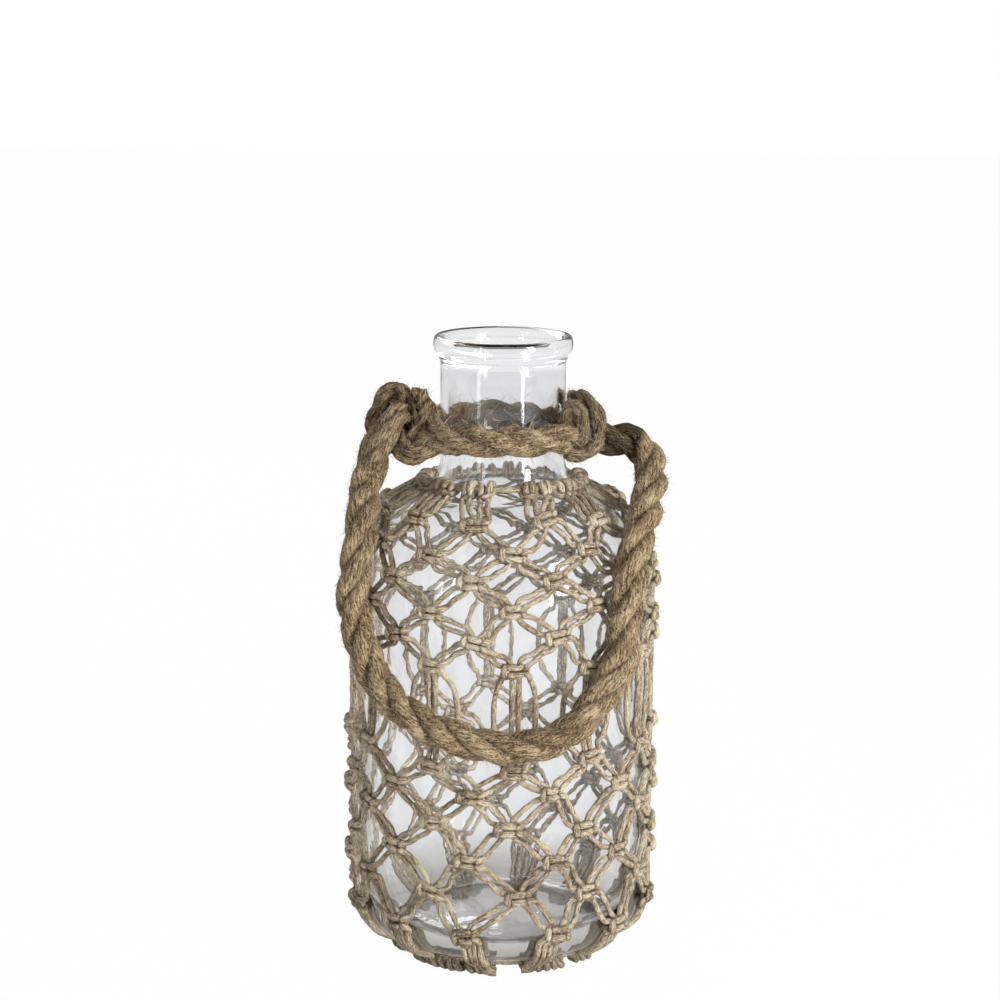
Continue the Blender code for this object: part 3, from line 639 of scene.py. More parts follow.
def new_material(name, roughness=0.9):
    """A new material, its shader node and a wire of its tree to build from."""
    made = bpy.data.materials.new(name + "_finish")
    made.use_nodes = True
    shader = made.node_tree.nodes["Principled BSDF"]
    shader.inputs["Roughness"].default_value = roughness
    return made, shader, Wire(made.node_tree)


def plug(node, name, wire):
    wire.tree.links.new(wire.socket, node.inputs[name])


def mix_surface(made, share, first, second):
    """Show a mix of two shaders as a material's surface."""
    mixed = share.make("ShaderNodeMixShader", {0: share, 1: first, 2: second})
    plug(made.node_tree.nodes["Material Output"], "Surface", mixed)


def jute_material(name, shades, groove_shade, fibre_pitch, stretch, crinkle):
    """Jute: crinkled fibres that follow the lay, patches of tone, and painted shade in the grooves between
    strands and in creases.
    """
    _, shader, wire = new_material(name)
    place = wire.make("ShaderNodeTexCoord", output="Object")
    lay = wire.attribute("lay", "Vector").vector("ADD", place.shaken(420.0, 2.0, crinkle))
    along = stretch * fibre_pitch
    coarse = lay.vector("MULTIPLY", (fibre_pitch, fibre_pitch, along)).noise(1.0, 3.0)
    fine = lay.vector("MULTIPLY", (3 * fibre_pitch, 3 * fibre_pitch, 2 * along)).noise(1.0)
    speckle = place.noise(1500.0, 3.0)
    patches = place.noise(75.0, 3.0)
    tone = coarse * 1.9 + fine * 1.1 + speckle * 0.9 + patches * 0.9 - 1.9
    colour = wire.make("ShaderNodeValToRGB", {"Fac": tone}, "Color", stops=list(zip(FIBRE_STOPS, shades)))
    tint = wire.make("ShaderNodeValToRGB", {"Fac": wire.attribute("tone")}, "Color", stops=STRAND_TINTS)
    colour = blend_colour(wire, 1.0, colour, tint, "MULTIPLY")
    # Painted shade in the grooves, where the surface lies near the cord's middle
    shadow = wire.attribute("reach").ranged(*groove_shade, 0.9, 0.0) * coarse.ranged(0.30, 0.60, 1.0, 0.35)
    shadow = shadow * patches.ranged(0.38, 0.56, 0.35, 1.0)
    # Painted shade: in the creases between strands, at the handle's ends, and on the collar towards the glass
    crease = wire.attribute("crease").ranged(0.35, 1.0, 0.0, 0.96) * coarse.ranged(0.30, 0.60, 1.0, 0.80)
    # Colour of the painted shade
    shade_colour = tuple(0.32 * value for value in shades[0])
    plug(shader, "Base Color", blend_colour(wire, shadow.highest(crease), colour, shade_colour))
    plug(shader, "Roughness", coarse * 0.2 + 0.78)
    bump = {"Strength": 0.9, "Distance": 0.0010, "Height": coarse * 0.6 + fine * 0.4}
    plug(shader, "Normal", wire.make("ShaderNodeBump", bump))
    shader.inputs["Specular IOR Level"].default_value = 0.25


def fibre_material(name, dark, light):
    """Loose hairs: pale, each patch its own tone."""
    _, shader, wire = new_material(name)
    tone = wire.make("ShaderNodeTexCoord", output="Object").noise(700.0).ranged(0.34, 0.66)
    plug(shader, "Base Color", blend_colour(wire, tone, dark, light))
    plug(shader, "Roughness", tone * 0.2 + 0.7)


def glass_material():
    """Clear blown glass, a touch grey, with slow ripples in its surface. It casts a light shadow."""
    made, shader, wire = new_material("clear_glass", 0.0)
    shader.inputs["Transmission Weight"].default_value = 1.0
    shader.inputs["IOR"].default_value = 1.5
    place = wire.make("ShaderNodeTexCoord", output="Object")
    ripple = place.vector("MULTIPLY", (1.0, 1.0, 0.35)).noise(38.0, 1.0)
    bump = {"Strength": 0.20, "Distance": 0.0018, "Height": ripple * 0.9 + place.noise(190.0, 1.0) * 0.1}
    plug(shader, "Normal", wire.make("ShaderNodeBump", bump))
    # Darker towards the bottom: partly the thick base's own tint, partly painted shade
    height = wire.make("ShaderNodeSeparateXYZ", {"Vector": place}, "Z").ranged(*BASE_TINT_HEIGHTS)
    plug(shader, "Base Color", blend_colour(wire, height, GLASS_BASE_TINT, GLASS_TINT))
    clear = wire.make("ShaderNodeBsdfTransparent", {"Color": (0.96, 0.962, 0.965, 1.0)}, "BSDF")
    mix_surface(made, wire.ray("Shadow"), Wire(made.node_tree, shader.outputs["BSDF"]), clear)


# Glass bottle: radii, and millimetres below the lip's top, above the inner floor and above the glass base

LIP_DROPS = (
    (26.5, 15), (26.4, 10), (26.15, 7), (25.95, 5.2), (26, 3.8), (26.5, 2.6), (27.5, 1.6), (28.9, 0.8),
    (30.3, 0.25), (31.4, 0), (32.2, 0.12), (32.9, 0.75), (33.3, 1.9), (33.5, 3.5), (33.5, 5), (33.2, 6.5),
    (32.6, 7.9), (31.8, 9.2), (31, 10.5), (30.45, 12), (30.15, 13.8),
)
FLOOR_RISES = (
    (0, 1.3), (8, 1.25), (16, 1.05), (24, 0.75), (31, 0.45), (35, 0.35), (37.5, 0.05), (40, 0.2), (43, 0.05),
)
BASE_RISES = (
    (48.5, 0), (46.5, 0.05), (45, 0.45), (43.5, 0.95), (41, 1.15), (34, 1.45), (22, 1.85), (10, 2.05),
    (0, 2.1),
)


def table_outline(rows, base, way):
    """Outline from radii and steps in millimetres up (way 1) or down (way -1) from a height."""
    return np.array([(radius * MM, base + way * step * MM) for radius, step in rows])


def inner_outline():
    """The inside from the middle of the floor up to the bore."""
    floor_z = GLASS_BASE_Z + BASE_THICKNESS
    wall_radius = BODY_RADIUS - WALL
    heel = arc((wall_radius - INNER_HEEL, floor_z + INNER_HEEL), INNER_HEEL, -90.0, 0.0, 22)
    wall = [(wall_radius, z) for z in np.linspace(floor_z + INNER_HEEL, SHOULDER_START_Z, 22)[1:-1]]
    points, normals = shoulder(np.linspace(0.0, FILLET_ANGLE, 40))
    turn = 180.0 + math.degrees(math.atan2(normals[-1, 1], normals[-1, 0]))
    flare = arc(FILLET_CENTRE, NECK_FILLET + NECK_WALL, turn, 180.0, 16)[1:]
    heights = np.linspace(FILLET_CENTRE[1] + 0.003, LIP_TOP_Z - 0.018, 12)
    neck = [(NECK_RADIUS - NECK_WALL, z) for z in heights]
    floor = table_outline(FLOOR_RISES, floor_z, 1)
    return np.concatenate([floor, heel, wall, points - WALL * normals, flare, neck])


def glass_bottle():
    """The bottle's whole wall, turned from one outline: inside, lip, outside and underside."""
    outline = np.concatenate([
        inner_outline(), table_outline(LIP_DROPS, LIP_TOP_Z, -1), outer_outline(),
        table_outline(BASE_RISES, GLASS_BASE_Z, 1),
    ])
    profile = np.stack([outline[:, 0], np.zeros(len(outline)), outline[:, 1]], axis=1)
    mesh = polyline_mesh("glass_profile", [profile])
    values = {"Segments": GLASS_SEGMENTS, "Weld": WELD_DISTANCE}
    made = grown("glass_body", mesh, "turned_glass", "clear_glass", values)
    work = bmesh.new()
    work.from_mesh(made.data)
    bmesh.ops.recalc_face_normals(work, faces=work.faces)
    work.to_mesh(made.data)
    work.free()
    return dressed(made, "bottle", "clear_glass", "glass_bottle")


# Net: knots, in millimetres as (right, down, out) from the knot's centre on the glass

LEFT_TYING = (
    (-8.2, -2.8, 1.5), (-5.9, -2.3, 2.1), (-3.2, -1.9, 3.6), (0, -1.8, 4.3), (2.9, -1.7, 3.8), (5, -1.2, 2.2),
    (5.8, 0, 1.5), (5, 1.2, 2.2), (2.9, 1.8, 3.8), (0, 1.9, 4.3), (-3.2, 2, 3.6), (-5.9, 2.4, 2.1),
    (-8.2, 2.9, 1.5),
)
RIGHT_TYING = (
    (8.2, -2.8, 1.5), (6.2, -2.3, 3), (4.6, -1.5, 4.3), (3, -0.8, 2.3), (1.2, -1.3, 1), (-1.2, -1.9, 1),
    (-3.1, -2.5, 2), (-4.8, -2.1, 3.9), (-5.5, 0, 4.4), (-4.8, 2.1, 3.9), (-3.1, 2.6, 2), (-1.2, 2.2, 1),
    (1.2, 1.5, 1), (3, 1, 2.3), (4.6, 1.6, 4.3), (6.2, 2.4, 3), (8.2, 2.9, 1.5),
)
FILLER = ((1.8, -3, 2.2), (1.5, 0, 2.6), (1.8, 3, 2.2))
FILLER_ASLANT = (3.9, 5.6, 1.5)
FILLER_STRAIGHT = (1.6, 5.6, 1.5)
TYING_STRAIGHT = (6.5, 4.7, 1.5)
KNOT_WIDTH_SCALE = 0.95
SPAN_LIFT = 0.0015
PAIR_SPREAD = -0.0003
SPAN_SIZE = 0.96
KNOT_SWELL = 0.30
KNOT_RISE = 2.9
STRAIGHT_BOW = 0.0056
STRAIGHT_BOW_PARTS = ((0.08, 0.55), (0.3, 1.0), (0.7, 0.95), (0.92, 0.5))

# How much knots, in millimetres, degrees and share of size, and spans, in metres, differ from each other
KNOT_SHIFT_SPREAD = 0.6
KNOT_TURN_SPREAD = 7.0
KNOT_SIZE_SPREAD = 0.04
FIRST_SPAN_SPREAD = 0.0003
SPAN_SPREAD = 0.0005
BOW_SPREAD = 0.0014

# One leg of a lark's head as (across, out, up) from the holding cord
HEAD_STEPS = (
    (0, 4.5, -3), (1.7, 4.3, -3.1), (2.9, 2.6, -2.9), (3.1, 0, -2), (2.6, -2.4, 0), (2, -1.2, 2),
    (1.8, 1.3, 2), (1.7, 2.9, 0.4), (1.7, 3.1, -2),
)
HEAD_SIZE = 1.20
HEAD_END_RUN = 0.004

# Degrees by which a column's lark's heads sit off their place
HEAD_SHIFTS = {-2: -2.0, -1: -6.0, 0: -7.0, 1: 6.0, 2: 5.0, 3: 2.0}

# A tail as (degrees round the heel, lift), and then as (radius, height) round the base cord.
# How far its strands lie to the side, and how far a column's tail drifts, are in millimetres too.
TAIL_LIFTS = ((14, 1.5), (32, 1.45), (50, 1.45), (68, 1.5), (79, 1.8))
TAIL_TURN = ((53.4, 4.9), (51.6, 2.9), (49, 2.6), (47.2, 4), (46.6, 5.6))
TAIL_SIZE = 1.22
TAIL_DRAW = 0.42
OUTER_TAIL_SIDE = 4.4
INNER_TAIL_SIDE = 1.5
TAIL_DRIFTS = {0: 1.5, 1: -1.5}

# Knots of the front that sit off their place, as (right, down) in millimetres by row and column
KNOT_SHIFTS = {
    (0, -1): (-3.3, -0.9), (0, 0): (-1.6, 0), (0, 1): (1.9, -3), (1, -1): (-3, 2.4), (1, 1): (2.3, 0),
    (2, -1): (-3.3, 0.5), (2, 1): (1, -1.5), (3, 0): (0, -1.5), (3, 1): (3.1, -1.8), (4, 0): (1.6, 0.4),
    (4, 1): (2, -1.8), (5, 0): (1.3, 0.2), (5, 1): (0, 1.6), (6, -2): (-3, -2.1), (6, -1): (-0.7, 2.3),
    (6, 0): (0.8, 2.6), (6, 1): (0, -1.6), (7, -1): (-1.8, -0.7), (7, 0): (0, 1), (8, -2): (-2, -2.1),
    (8, 0): (-1.6, 0.8), (8, 1): (-2.2, 3.5), (9, -1): (-1.8, -2), (9, 1): (1.9, 1.5), (9, 2): (-1, 2.2),
    (10, -2): (-4, -0.9), (10, 0): (3.2, 0.2), (11, 0): (-2.1, 0.9), (11, 1): (3.3, 0), (11, 2): (0.9, 2.6),
}

# Places of the hitches along the base cord by column, and the cut tips as (side, radius, height)
HITCH_PLACES = {
    -1: (-6.5, -2.5, 1.5, 5.5, 9.5, 13.5, 17), 0: (-3, 0.5, 4), 1: (1.5, 5.5, 9.5, 13), 2: (-3.5, 0, 3.5),
}
OTHER_HITCHES = (-3.6, 0.4, 4.2)
CUT_TIPS = (
    (-11.0, (0, 52, 4.4), (2.5, 53.6, 3.4), (5.5, 54, 2.9), (8.5, 53.2, 2.9)),
    (19.0, (2, 51.5, 4.4), (-1.5, 52.5, 3.4), (-4.5, 52, 2.9), (-6.5, 51.5, 2.9)),
)


def knot_rows():
    """Each row's run, and whether its knots lie on the yarns' own columns or halfway between."""
    upper = [FIRST_ROW_RUN + UPPER_PITCH * row for row in range(UPPER_ROWS)]
    lower = [HEEL_RUN + LAST_ROW_DROP]
    for row in reversed(range(LOWER_ROWS - 1)):
        lower.append(lower[-1] - LOWER_FIRST_PITCH - LOWER_PITCH_STEP * row)
    own = [row % 2 == 0 for row in range(UPPER_ROWS)]
    own += [own[-1] == (row % 2 == 0) for row in range(LOWER_ROWS)]
    return list(zip(upper + lower[::-1], own))


def signed(column):
    """A column's number counted from the front, negative to the left."""
    return column if column < KNOT_COLUMNS / 2 else column - KNOT_COLUMNS


def knot_moods(rng, rows):
    """A shift, a turn in degrees and a size for every knot, by row and half column."""
    moods = {}
    for row, (_, in_own) in enumerate(rows):
        for column in range(KNOT_COLUMNS):
            shift = rng.normal(0.0, KNOT_SHIFT_SPREAD, 2)
            across, down = KNOT_SHIFTS.get((row, signed(column)), shift)
            moods[row, 2 * column + (0 if in_own else 1)] = (
                across * MM, down * MM, rng.normal(0.0, KNOT_TURN_SPREAD), rng.normal(1.0, KNOT_SIZE_SPREAD),
            )
    return moods


def tying_shape(shape, straight_in, straight_out):
    """A tying strand's points through a knot, its ends drawn in where the strand runs straight down."""
    points = list(shape)
    right, low, out = TYING_STRAIGHT
    for straight, end, down in ((straight_in, 0, -low), (straight_out, -1, low)):
        if straight:
            points[end] = (math.copysign(right, points[end][0]), down, out)
    return points


def filler_shape(straight_in, straight_out):
    """A filler's points through a knot, its ends straight down or aslant towards the next knot."""
    first = FILLER_STRAIGHT if straight_in else FILLER_ASLANT
    final = FILLER_STRAIGHT if straight_out else FILLER_ASLANT
    return (first[0], -first[1], first[2]), *FILLER, final


def knot_sizes(shape, ties):
    """Size of a strand at each point of a knot: a tying strand swells where it crosses in front."""
    swell = KNOT_SWELL if ties else 0.0
    return [SPAN_SIZE + swell * max(0.0, out - SPAN_LIFT / MM) / KNOT_RISE for _, _, out in shape]


def nearest_sizes(line, points, sizes):
    """Size at each point of a line: that of the nearest of the points it was drawn through, evened out."""
    gaps = np.linalg.norm(line[:, None, :] - np.asarray(points)[None, :, :], axis=2)
    size = np.asarray(sizes)[np.argmin(gaps, axis=1)]
    return np.convolve(np.pad(size, 2, mode="edge"), np.full(5, 0.2), mode="valid")


def knot_line(azimuth, run, mood, shape, mirrored=False):
    """A strand's points through one knot, as rows of azimuth, run and lift."""
    across, down, turn, scale = mood
    sine, cosine = math.sin(math.radians(turn)), math.cos(math.radians(turn))
    line = []
    for right, low, out in shape:
        right *= -KNOT_WIDTH_SCALE if mirrored else KNOT_WIDTH_SCALE
        u = scale * (right * cosine - low * sine) * MM + across
        v = scale * (right * sine + low * cosine) * MM + down
        line.append((azimuth + math.degrees(u / glass_radius(run + v)), run + v, out * MM))
    return line


def head_line(azimuth, side, mood):
    """One leg of a lark's head: from the middle of its front bar, round the ring cord, to the glass."""
    wide, tall, slant = mood
    radius, height = ring_seat(azimuth)
    return [
        ring_point(azimuth, radius + out * MM, height + (up * tall + side * across * slant) * MM,
                   side * across * wide * MM)
        for across, out, up in HEAD_STEPS
    ]


def between(start, end, spread, bow):
    """Points of a strand between two knots, from one (azimuth, run, lift) to another."""
    if bow:
        points = []
        for share, part in STRAIGHT_BOW_PARTS:
            run = start[1] + (end[1] - start[1]) * share
            middle = start[0] + (end[0] - start[0]) * share
            points.append((middle + math.degrees(bow * part / glass_radius(run)), run, SPAN_LIFT))
        return points
    run = (start[1] + end[1]) / 2
    radius = glass_radius(run)
    across, down = math.radians(end[0] - start[0]) * radius, end[1] - start[1]
    shift = spread / max(math.hypot(across, down), 1e-9)
    azimuth = (start[0] + end[0]) / 2 + math.degrees(down * shift / radius)
    return [(azimuth, run - across * shift, SPAN_LIFT)]


def tail_line(azimuth, side_mm, drift_mm, rng):
    """Flat bundle over the heel, looser at the back, then round the base cord to a cut end."""
    points = []
    side_mm = side_mm * (1.0 + 0.25 * (1.0 - math.cos(math.radians(azimuth)))) + rng.normal(0.0, 0.3)
    for angle, lift in TAIL_LIFTS:
        run = HEEL_RUN + HEEL_RADIUS * math.radians(angle)
        share = angle / TAIL_LIFTS[-1][0]
        side = (side_mm * (1.0 - TAIL_DRAW * share) + drift_mm * share) * MM
        points.append(seat(azimuth + math.degrees(side / glass_radius(run)), run, lift * MM))
    side = (side_mm * (1.0 - TAIL_DRAW) + drift_mm) * MM
    tip = rng.uniform(-1.5, 1.5) * MM
    first, final = TAIL_TURN[0][0], TAIL_TURN[-1][0]
    for radius, height in TAIL_TURN:
        drift = tip * (first - radius) / (first - final)
        points.append(ring_point(azimuth, radius * MM, height * MM, side + drift))
    return points


def net_strand(column, side, inner, rows, moods, head_mood, rng):
    """One strand of a yarn from its fold to its cut end. Side is 1 for the right yarn, -1 for the left."""
    own_azimuth = NET_TURN + COLUMN_STEP * column
    head_azimuth = own_azimuth + side * LOOP_AZIMUTH + HEAD_SHIFTS.get(signed(column), 0.0)
    leg = -side if inner else side
    points = head_line(head_azimuth, leg, head_mood)
    across = math.degrees(HEAD_STEPS[-1][0] * MM * leg / glass_radius(HEAD_END_RUN))
    last = (head_azimuth + across, HEAD_END_RUN, SPAN_LIFT)
    sizes = [HEAD_SIZE] * len(points) + [SPAN_SIZE]
    points.append(seat(*last))
    last_half = None
    for row, (run, in_own) in enumerate(rows):
        azimuth = own_azimuth if in_own else own_azimuth + side * COLUMN_STEP / 2
        half_column = (2 * column + (0 if in_own else side)) % (2 * KNOT_COLUMNS)
        in_right_half = (side > 0) == in_own
        ties = inner != in_own
        straight = (row in (0, UPPER_ROWS), row in (UPPER_ROWS - 1, len(rows) - 1))
        if ties:
            shape = tying_shape(RIGHT_TYING if in_right_half else LEFT_TYING, *straight)
        else:
            shape = filler_shape(*straight)
        line = knot_line(azimuth, run, moods[row, half_column], shape, mirrored=not (ties or in_right_half))
        spread = bow = 0.0
        if row == 0:
            spread = rng.normal(0.0, FIRST_SPAN_SPREAD)
        elif last_half != half_column:
            spread = (PAIR_SPREAD + rng.normal(0.0, SPAN_SPREAD)) * leg
        elif ties:
            bow = (1.0 if in_right_half else -1.0) * (STRAIGHT_BOW + rng.normal(0.0, BOW_SPREAD))
        span = between(last, line[0], spread, bow)
        points += [seat(*point) for point in span + line]
        sizes += [SPAN_SIZE] * len(span) + knot_sizes(shape, ties)
        last = line[-1]
        last_half = half_column
    tail_side = side * (OUTER_TAIL_SIDE if inner != rows[-1][1] else INNER_TAIL_SIDE)
    tail = tail_line(own_azimuth, tail_side, TAIL_DRIFTS.get(signed(column), 0.0), rng)
    points += tail
    sizes += [TAIL_SIZE] * len(tail)
    line = relaxed(smooth(points, YARN_STEP))
    return line, nearest_sizes(line, points, sizes)


def laid_yarns(name, lines, sizes, nodes, margin, least_shade=0.0):
    """A piece of the net from several lines of yarn, with painted shade marked in its creases."""
    made = laid(name, "yarn", "jute_yarn", lines, sizes)
    keep_above_floor(made)
    paint_crease_shade(made, lines, sizes, YARN_RADIUS, margin, least_shade)
    return dressed(made, "bottle", "jute_yarn", *nodes)


def net(rng):
    """Twenty-four folded yarns in four quarters of the net, each quarter one piece."""
    rows = knot_rows()
    moods = knot_moods(rng, rows)
    quarters = []
    for quarter in range(4):
        lines, sizes, nodes = [], [], []
        for yarn in range(quarter * KNOT_COLUMNS // 2, (quarter + 1) * KNOT_COLUMNS // 2):
            column, side = yarn // 2, (-1, 1)[yarn % 2]
            nodes.append(f"net_yarn_{yarn + 1:02d}")
            head_mood = (rng.normal(1.05, 0.20), rng.normal(1.0, 0.18), rng.normal(0.0, 0.32))
            (first, first_size), (second, second_size) = (
                net_strand(column, side, inner, rows, moods, head_mood, rng) for inner in (True, False)
            )
            lines.append(np.concatenate([first[::-1], second[1:]]))
            sizes.append(np.concatenate([first_size[::-1], second_size[1:]]))
        quarters.append(laid_yarns(f"net_quarter_{quarter + 1}", lines, sizes, nodes, NET_CREASE))
    return quarters


def ring_angles(radius, step):
    """Angles of a ring's points, about a step apart, from the back."""
    return math.pi + np.linspace(0.0, 2 * math.pi, round(2 * math.pi * radius / step), endpoint=False)


def ring_line(angles, radius, height):
    return np.stack([radius * np.sin(angles), -radius * np.cos(angles), height + 0.0 * angles], axis=1)


def ring_cords():
    """The holding cord round the foot of the neck, and the base cord under the glass."""
    neck = ring_angles(RING_RADIUS, YARN_STEP)
    base = ring_angles(BASE_CORD_RADIUS, YARN_STEP)
    for place, line in (
        ("neck", ring_line(neck, *ring_seat(np.degrees(neck)))),
        ("base", ring_line(base, BASE_CORD_RADIUS, BASE_CORD_Z)),
    ):
        made = laid(place + "_cord", place + " cord", "jute_yarn", [line], closed=True)
        dressed(made, "bottle", "jute_yarn", place + "_ring_cord")


def base_hitches(rng):
    """Under every column a row of half hitches round the base cord, and cut tips that stick out."""
    lines, nodes = [], []
    core = BASE_CORD_RADIUS / MM
    for column in range(KNOT_COLUMNS):
        azimuth = NET_TURN + COLUMN_STEP * column
        nodes.append(f"base_hitch_{column + 1:02d}")
        for middle in HITCH_PLACES.get(signed(column), OTHER_HITCHES):
            lean = rng.uniform(-1.4, 1.4, 3)
            size = rng.uniform(0.85, 1.15)
            turn = [
                (-2.4, 50, 5), (-1.6 + lean[0], 53, 4.6), (-0.4, 54 + 0.5 * lean[1], 2.6), (0.8, 52.2, 1.8),
                (1.2, 49.4, 1.6), (1.6 + lean[2], 47.4, 1.9), (2.2, 48.4, 4.2), (1.4, 51.4, 5.6),
            ]
            if rng.random() < 0.55:
                way = rng.choice((-1.0, 1.0))
                end = (way * rng.uniform(3.0, 5.0), rng.uniform(49.5, 54.0), rng.uniform(1.9, 2.6))
                turn += [(way * 2.0, 52.5, 3.0), end]
            points = []
            for side, radius, height in turn:
                along = math.degrees((middle + side) / core)
                reach = core + (radius - core) * size
                points.append(ring_point(azimuth + along, reach * MM, height * MM))
            lines.append(smooth(points, YARN_STEP))
    sizes = [np.linspace(1.25, 1.35, len(line)) for line in lines]
    for azimuth, *points in CUT_TIPS:
        tip = [ring_point(azimuth, radius * MM, height * MM, side * MM) for side, radius, height in points]
        lines.append(smooth(tip, YARN_STEP))
        sizes.append(np.linspace(1.5, 2.0, len(lines[-1])))
    # Painted shade of at least 0.68 over every hitch and tip, under the bottle
    return laid_yarns("base_hitches", lines, sizes, nodes, HITCH_CREASE, least_shade=0.68)


# Rope

def handle_rope():
    """The bail, with painted shade where it goes into the knots, and the line of its middle."""
    line = smooth(np.array(HANDLE_ROUTE_MM) * MM, ROPE_STEP)
    made = laid("handle_bail", "handle", "jute_rope", [line])
    left, right = (
        np.interp(np.linalg.norm(vertices_of(made) - end, axis=1), shade, (1.0, 0.0))
        for end, shade in ((line[0], LEFT_END_SHADE), (line[-1], RIGHT_END_SHADE))
    )
    store(made.data, "crease", np.maximum(left, right))
    return dressed(made, "handle", "jute_rope", "handle_rope"), line


def collar_rope(rng):
    """The rope round the neck, slightly wavy, with painted shade towards the glass."""
    angles = ring_angles(COLLAR_RADIUS, ROPE_STEP)
    phase = rng.uniform(0.0, 2 * math.pi, 3)
    wave = np.sin(2 * angles + phase[0]) + 0.6 * np.sin(3 * angles + phase[1])
    line = ring_line(angles, COLLAR_MIDDLE, COLLAR_Z + COLLAR_WAVE * wave)
    made = laid("collar_ring", "collar", "jute_rope", [line], closed=True)
    press_on_neck(made)
    co = vertices_of(made)
    off_glass = np.hypot(co[:, 0], co[:, 1]) - NECK_RADIUS
    store(made.data, "crease", np.interp(off_glass, COLLAR_SHADE, (1.0, 0.0)))
    return dressed(made, "collar", "jute_rope", "collar_rope")


# Turns of the two rope knots, each as the rope's size at its two ends and its route in millimetres
RIGHT_KNOT = (
    (0.56, 0.56, (33, 9, 266), (34, 4, 272.5), (37, -3, 274.5), (41, -8, 272.5), (44.5, -12, 268),
     (45.5, -15, 261.5), (44.5, -18, 255.5), (40.5, -21, 251), (35, -24, 250), (30, -26, 252)),
    (0.46, 0.46, (30.5, -21, 262), (30.5, -23, 270), (33, -24, 273), (36.5, -25, 271.5), (38, -25.5, 266.5),
     (38, -25.5, 260.5), (35.5, -25, 256)),
    (0.75, 0.75, (35.5, -4, 271), (38.5, -8, 267), (39.5, -10, 260.5), (39, -12, 254.5)),
    (0.95, 0.95, (40, 9, 257), (42.5, 0, 258), (41, -9, 257), (36, -18, 256)),
)
LEFT_KNOT = (
    (0.95, 0.78, (-62.6, -23, 242), (-60.5, -26, 249), (-57.5, -27, 255), (-54, -27, 261.5),
     (-51.5, -25, 266), (-49, -19, 268), (-47.5, -11, 266), (-47, -5, 260.5)),
    (0.55, 0.52, (-60.5, -8, 253.5), (-62, -9, 259.5), (-62, -9, 265.5), (-59, -8, 270.5), (-57, -6, 274.5),
     (-53.5, -5, 277.5), (-49.5, -6, 278.5), (-46.5, -9, 275.5), (-45, -12, 271.5), (-43, -15, 265.5),
     (-41, -17, 260)),
    (0.48, 0.48, (-43, -6, 272), (-38.5, -7, 273), (-35, -10, 270), (-33.5, -13, 265.5), (-34, -17, 260),
     (-38, -20, 256), (-43, -22, 253.5)),
    (0.92, 0.90, (-56.5, 0, 264.5), (-53.5, -1, 271), (-48, -2.5, 270.5), (-43, -5, 264), (-40, -8, 256.5)),
    (0.86, 0.80, (-31, -23, 256), (-36.5, -25, 252.5), (-43, -25.5, 250.5), (-47.5, -23, 252.5),
     (-49.5, -18, 257), (-47.5, -12, 260)),
    (0.42, 0.42, (-35, -12, 272), (-39, -18, 266), (-42.5, -21, 260), (-45, -22, 254)),
    (0.40, 0.40, (-44.5, -13, 272), (-41.5, -18, 266), (-38, -20, 259)),
    (0.46, 0.68, (-41.5, -10, 267.5), (-40, -11, 272.5), (-39, -11, 278.5)),
)


def rope_knot(name, node, turns, least_shade):
    """A knot from several turns of rope, pressed on the neck where it would go into it, with painted shade
    marked in its creases.
    """
    lines = [smooth(np.array(route) * MM, ROPE_STEP) for _, _, *route in turns]
    sizes = [np.linspace(first, final, len(line)) for (first, final, *_), line in zip(turns, lines)]
    made = laid(name, "rope knot", "jute_rope", lines, sizes)
    press_on_neck(made)
    paint_crease_shade(made, lines, sizes, ROPE_RADIUS, KNOT_CREASE, least_shade)
    return dressed(made, "collar", "jute_rope", node)


def fuzz(name, kind, piece, body, slot, seed=SEED):
    """Loose hairs of one kind over a finished piece."""
    finish, *values = HAIRS[kind]
    made = grown(name, piece.data, "loose_fibres", finish, dict(zip(HAIR_INPUTS, values), Seed=seed))
    keep_above_floor(made)
    return dressed(made, body, slot)


def rope_fuzz(name, piece, body):
    """Short fibres that lie over the rope, and longer ones that stand off it."""
    return [
        fuzz(f"{name}_{kind}", kind, piece, body, "jute_rope", SEED + number)
        for number, kind in enumerate(("fibres", "hairs"))
    ]


# Studio

# Lamps as azimuth, distance, height, tilt, width, length and power
LAMPS = {
    "key": (46.6, 1.5, 0.58, 62.0, 0.26, 1.0, 22.0),
    "fill": (-37.0, 1.5, 0.55, 62.0, 0.07, 1.0, 2.0),
    "back": (195.0, 1.5, 1.10, 62.0, 0.8, 0.8, 8.0),
    "left_strip": (-46.0, 0.9, 0.20, 90.0, 0.05, 0.36, 0.30),
    "right_strip": (37.0, 0.9, 0.20, 90.0, 0.04, 0.36, 1.50),
}
FLOOR_REACH = 6.0


def by_ray(wire, camera, glossy, transmission, rest=0.0):
    """A strength for each kind of ray that sees a surface."""
    return (wire.ray("Camera") * camera).highest(
        wire.ray("Glossy") * glossy, wire.ray("Transmission") * transmission, rest)


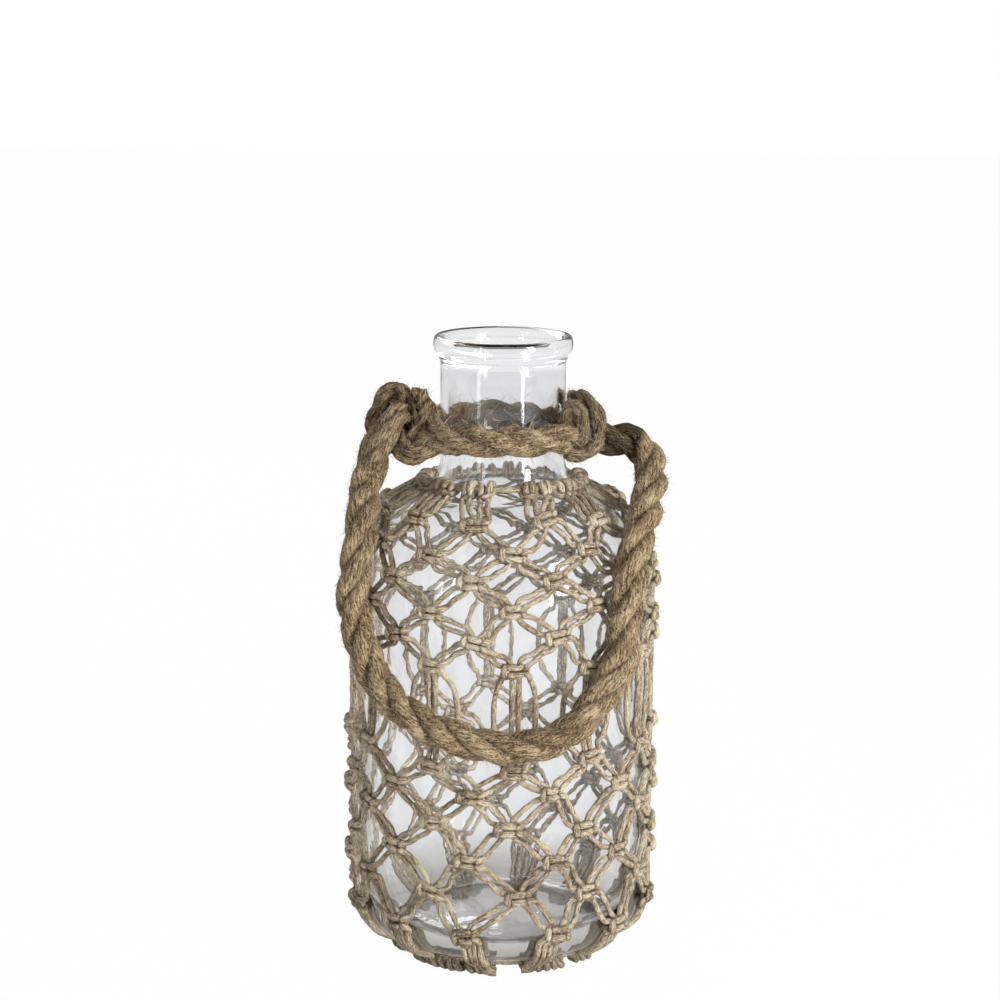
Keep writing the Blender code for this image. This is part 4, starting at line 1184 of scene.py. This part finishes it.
def studio():
    """White floor and world with soft light. The floor keeps the object's shadow."""
    white = (1.0, 1.0, 1.0, 1.0)
    world = bpy.data.worlds.new("studio")
    bpy.context.scene.world = world
    world.use_nodes = True
    background = world.node_tree.nodes["Background"]
    background.inputs["Color"].default_value = white
    plug(background, "Strength", by_ray(Wire(world.node_tree), 1.0, 0.40, 0.90, 0.4))

    made, shader, wire = new_material("white_floor")
    shader.inputs["Base Color"].default_value = (0.86, 0.86, 0.86, 1.0)
    glow = wire.make("ShaderNodeEmission", {"Color": white, "Strength": 1.0}, "Emission")
    mix_surface(made, by_ray(wire, 0.98, 0.15, 0.66), Wire(made.node_tree, shader.outputs["BSDF"]), glow)
    mesh = bpy.data.meshes.new("floor")
    corners = [(x * FLOOR_REACH, y * FLOOR_REACH, 0.0) for x, y in ((-1, -1), (1, -1), (1, 1), (-1, 1))]
    mesh.from_pydata(corners, [], [(0, 1, 2, 3)])
    mesh.materials.append(made)
    linked("floor", mesh)

    for name, (azimuth, distance, height, tilt, wide, high, power) in LAMPS.items():
        lamp = bpy.data.lights.new(name, "AREA")
        lamp.shape = "RECTANGLE"
        lamp.size = wide
        lamp.size_y = high
        lamp.energy = power
        turned = Matrix.Rotation(math.radians(azimuth), 4, "Z") @ Matrix.Rotation(math.radians(tilt), 4, "X")
        place = Matrix.Translation(ring_point(azimuth, distance, height))
        linked(name, lamp).matrix_world = place @ turned


def build():
    bpy.context.scene.view_settings.view_transform = "Standard"
    rng = np.random.default_rng(SEED)
    camera()
    laid_cord_tree()
    loose_fibre_tree()
    turned_glass_tree()
    jute_material(
        "jute_rope", ROPE_SHADES, groove_shade=(0.0042, 0.0068), fibre_pitch=1250.0, stretch=0.20, crinkle=0.0020)
    jute_material(
        "jute_yarn", YARN_SHADES, groove_shade=(0.0003, 0.0012), fibre_pitch=2400.0, stretch=0.16, crinkle=0.0008)
    fibre_material("loose_hair", dark=(0.14, 0.092, 0.047), light=(0.62, 0.498, 0.325))
    fibre_material("pale_hair", dark=(0.33, 0.26, 0.17), light=(0.70, 0.61, 0.47))
    glass_material()

    handle, line = handle_rope()
    handle_hairs = rope_fuzz("handle", handle, "handle")
    collar = collar_rope(rng)
    right = rope_knot("right_rope_knot", "knot_right", RIGHT_KNOT, 0.0)
    # The left knot gets painted shade of at least 0.5 all over, on the side away from the key lamp
    left = rope_knot("left_rope_knot", "knot_left", LEFT_KNOT, 0.5)
    for name, piece in (("collar", collar), ("right_knot", right), ("left_knot", left)):
        rope_fuzz(name, piece, "collar")
    fuzz("collar_strays", "strays", collar, "collar", "jute_rope")

    glass_bottle()
    for number, quarter in enumerate(net(rng), start=1):
        fuzz(f"net_hairs_{number}", "net hairs", quarter, "bottle", "jute_yarn", SEED + number)
    ring_cords()
    fuzz("hitch_hairs", "hitch hairs", base_hitches(rng), "bottle", "jute_yarn")
    studio()


build()
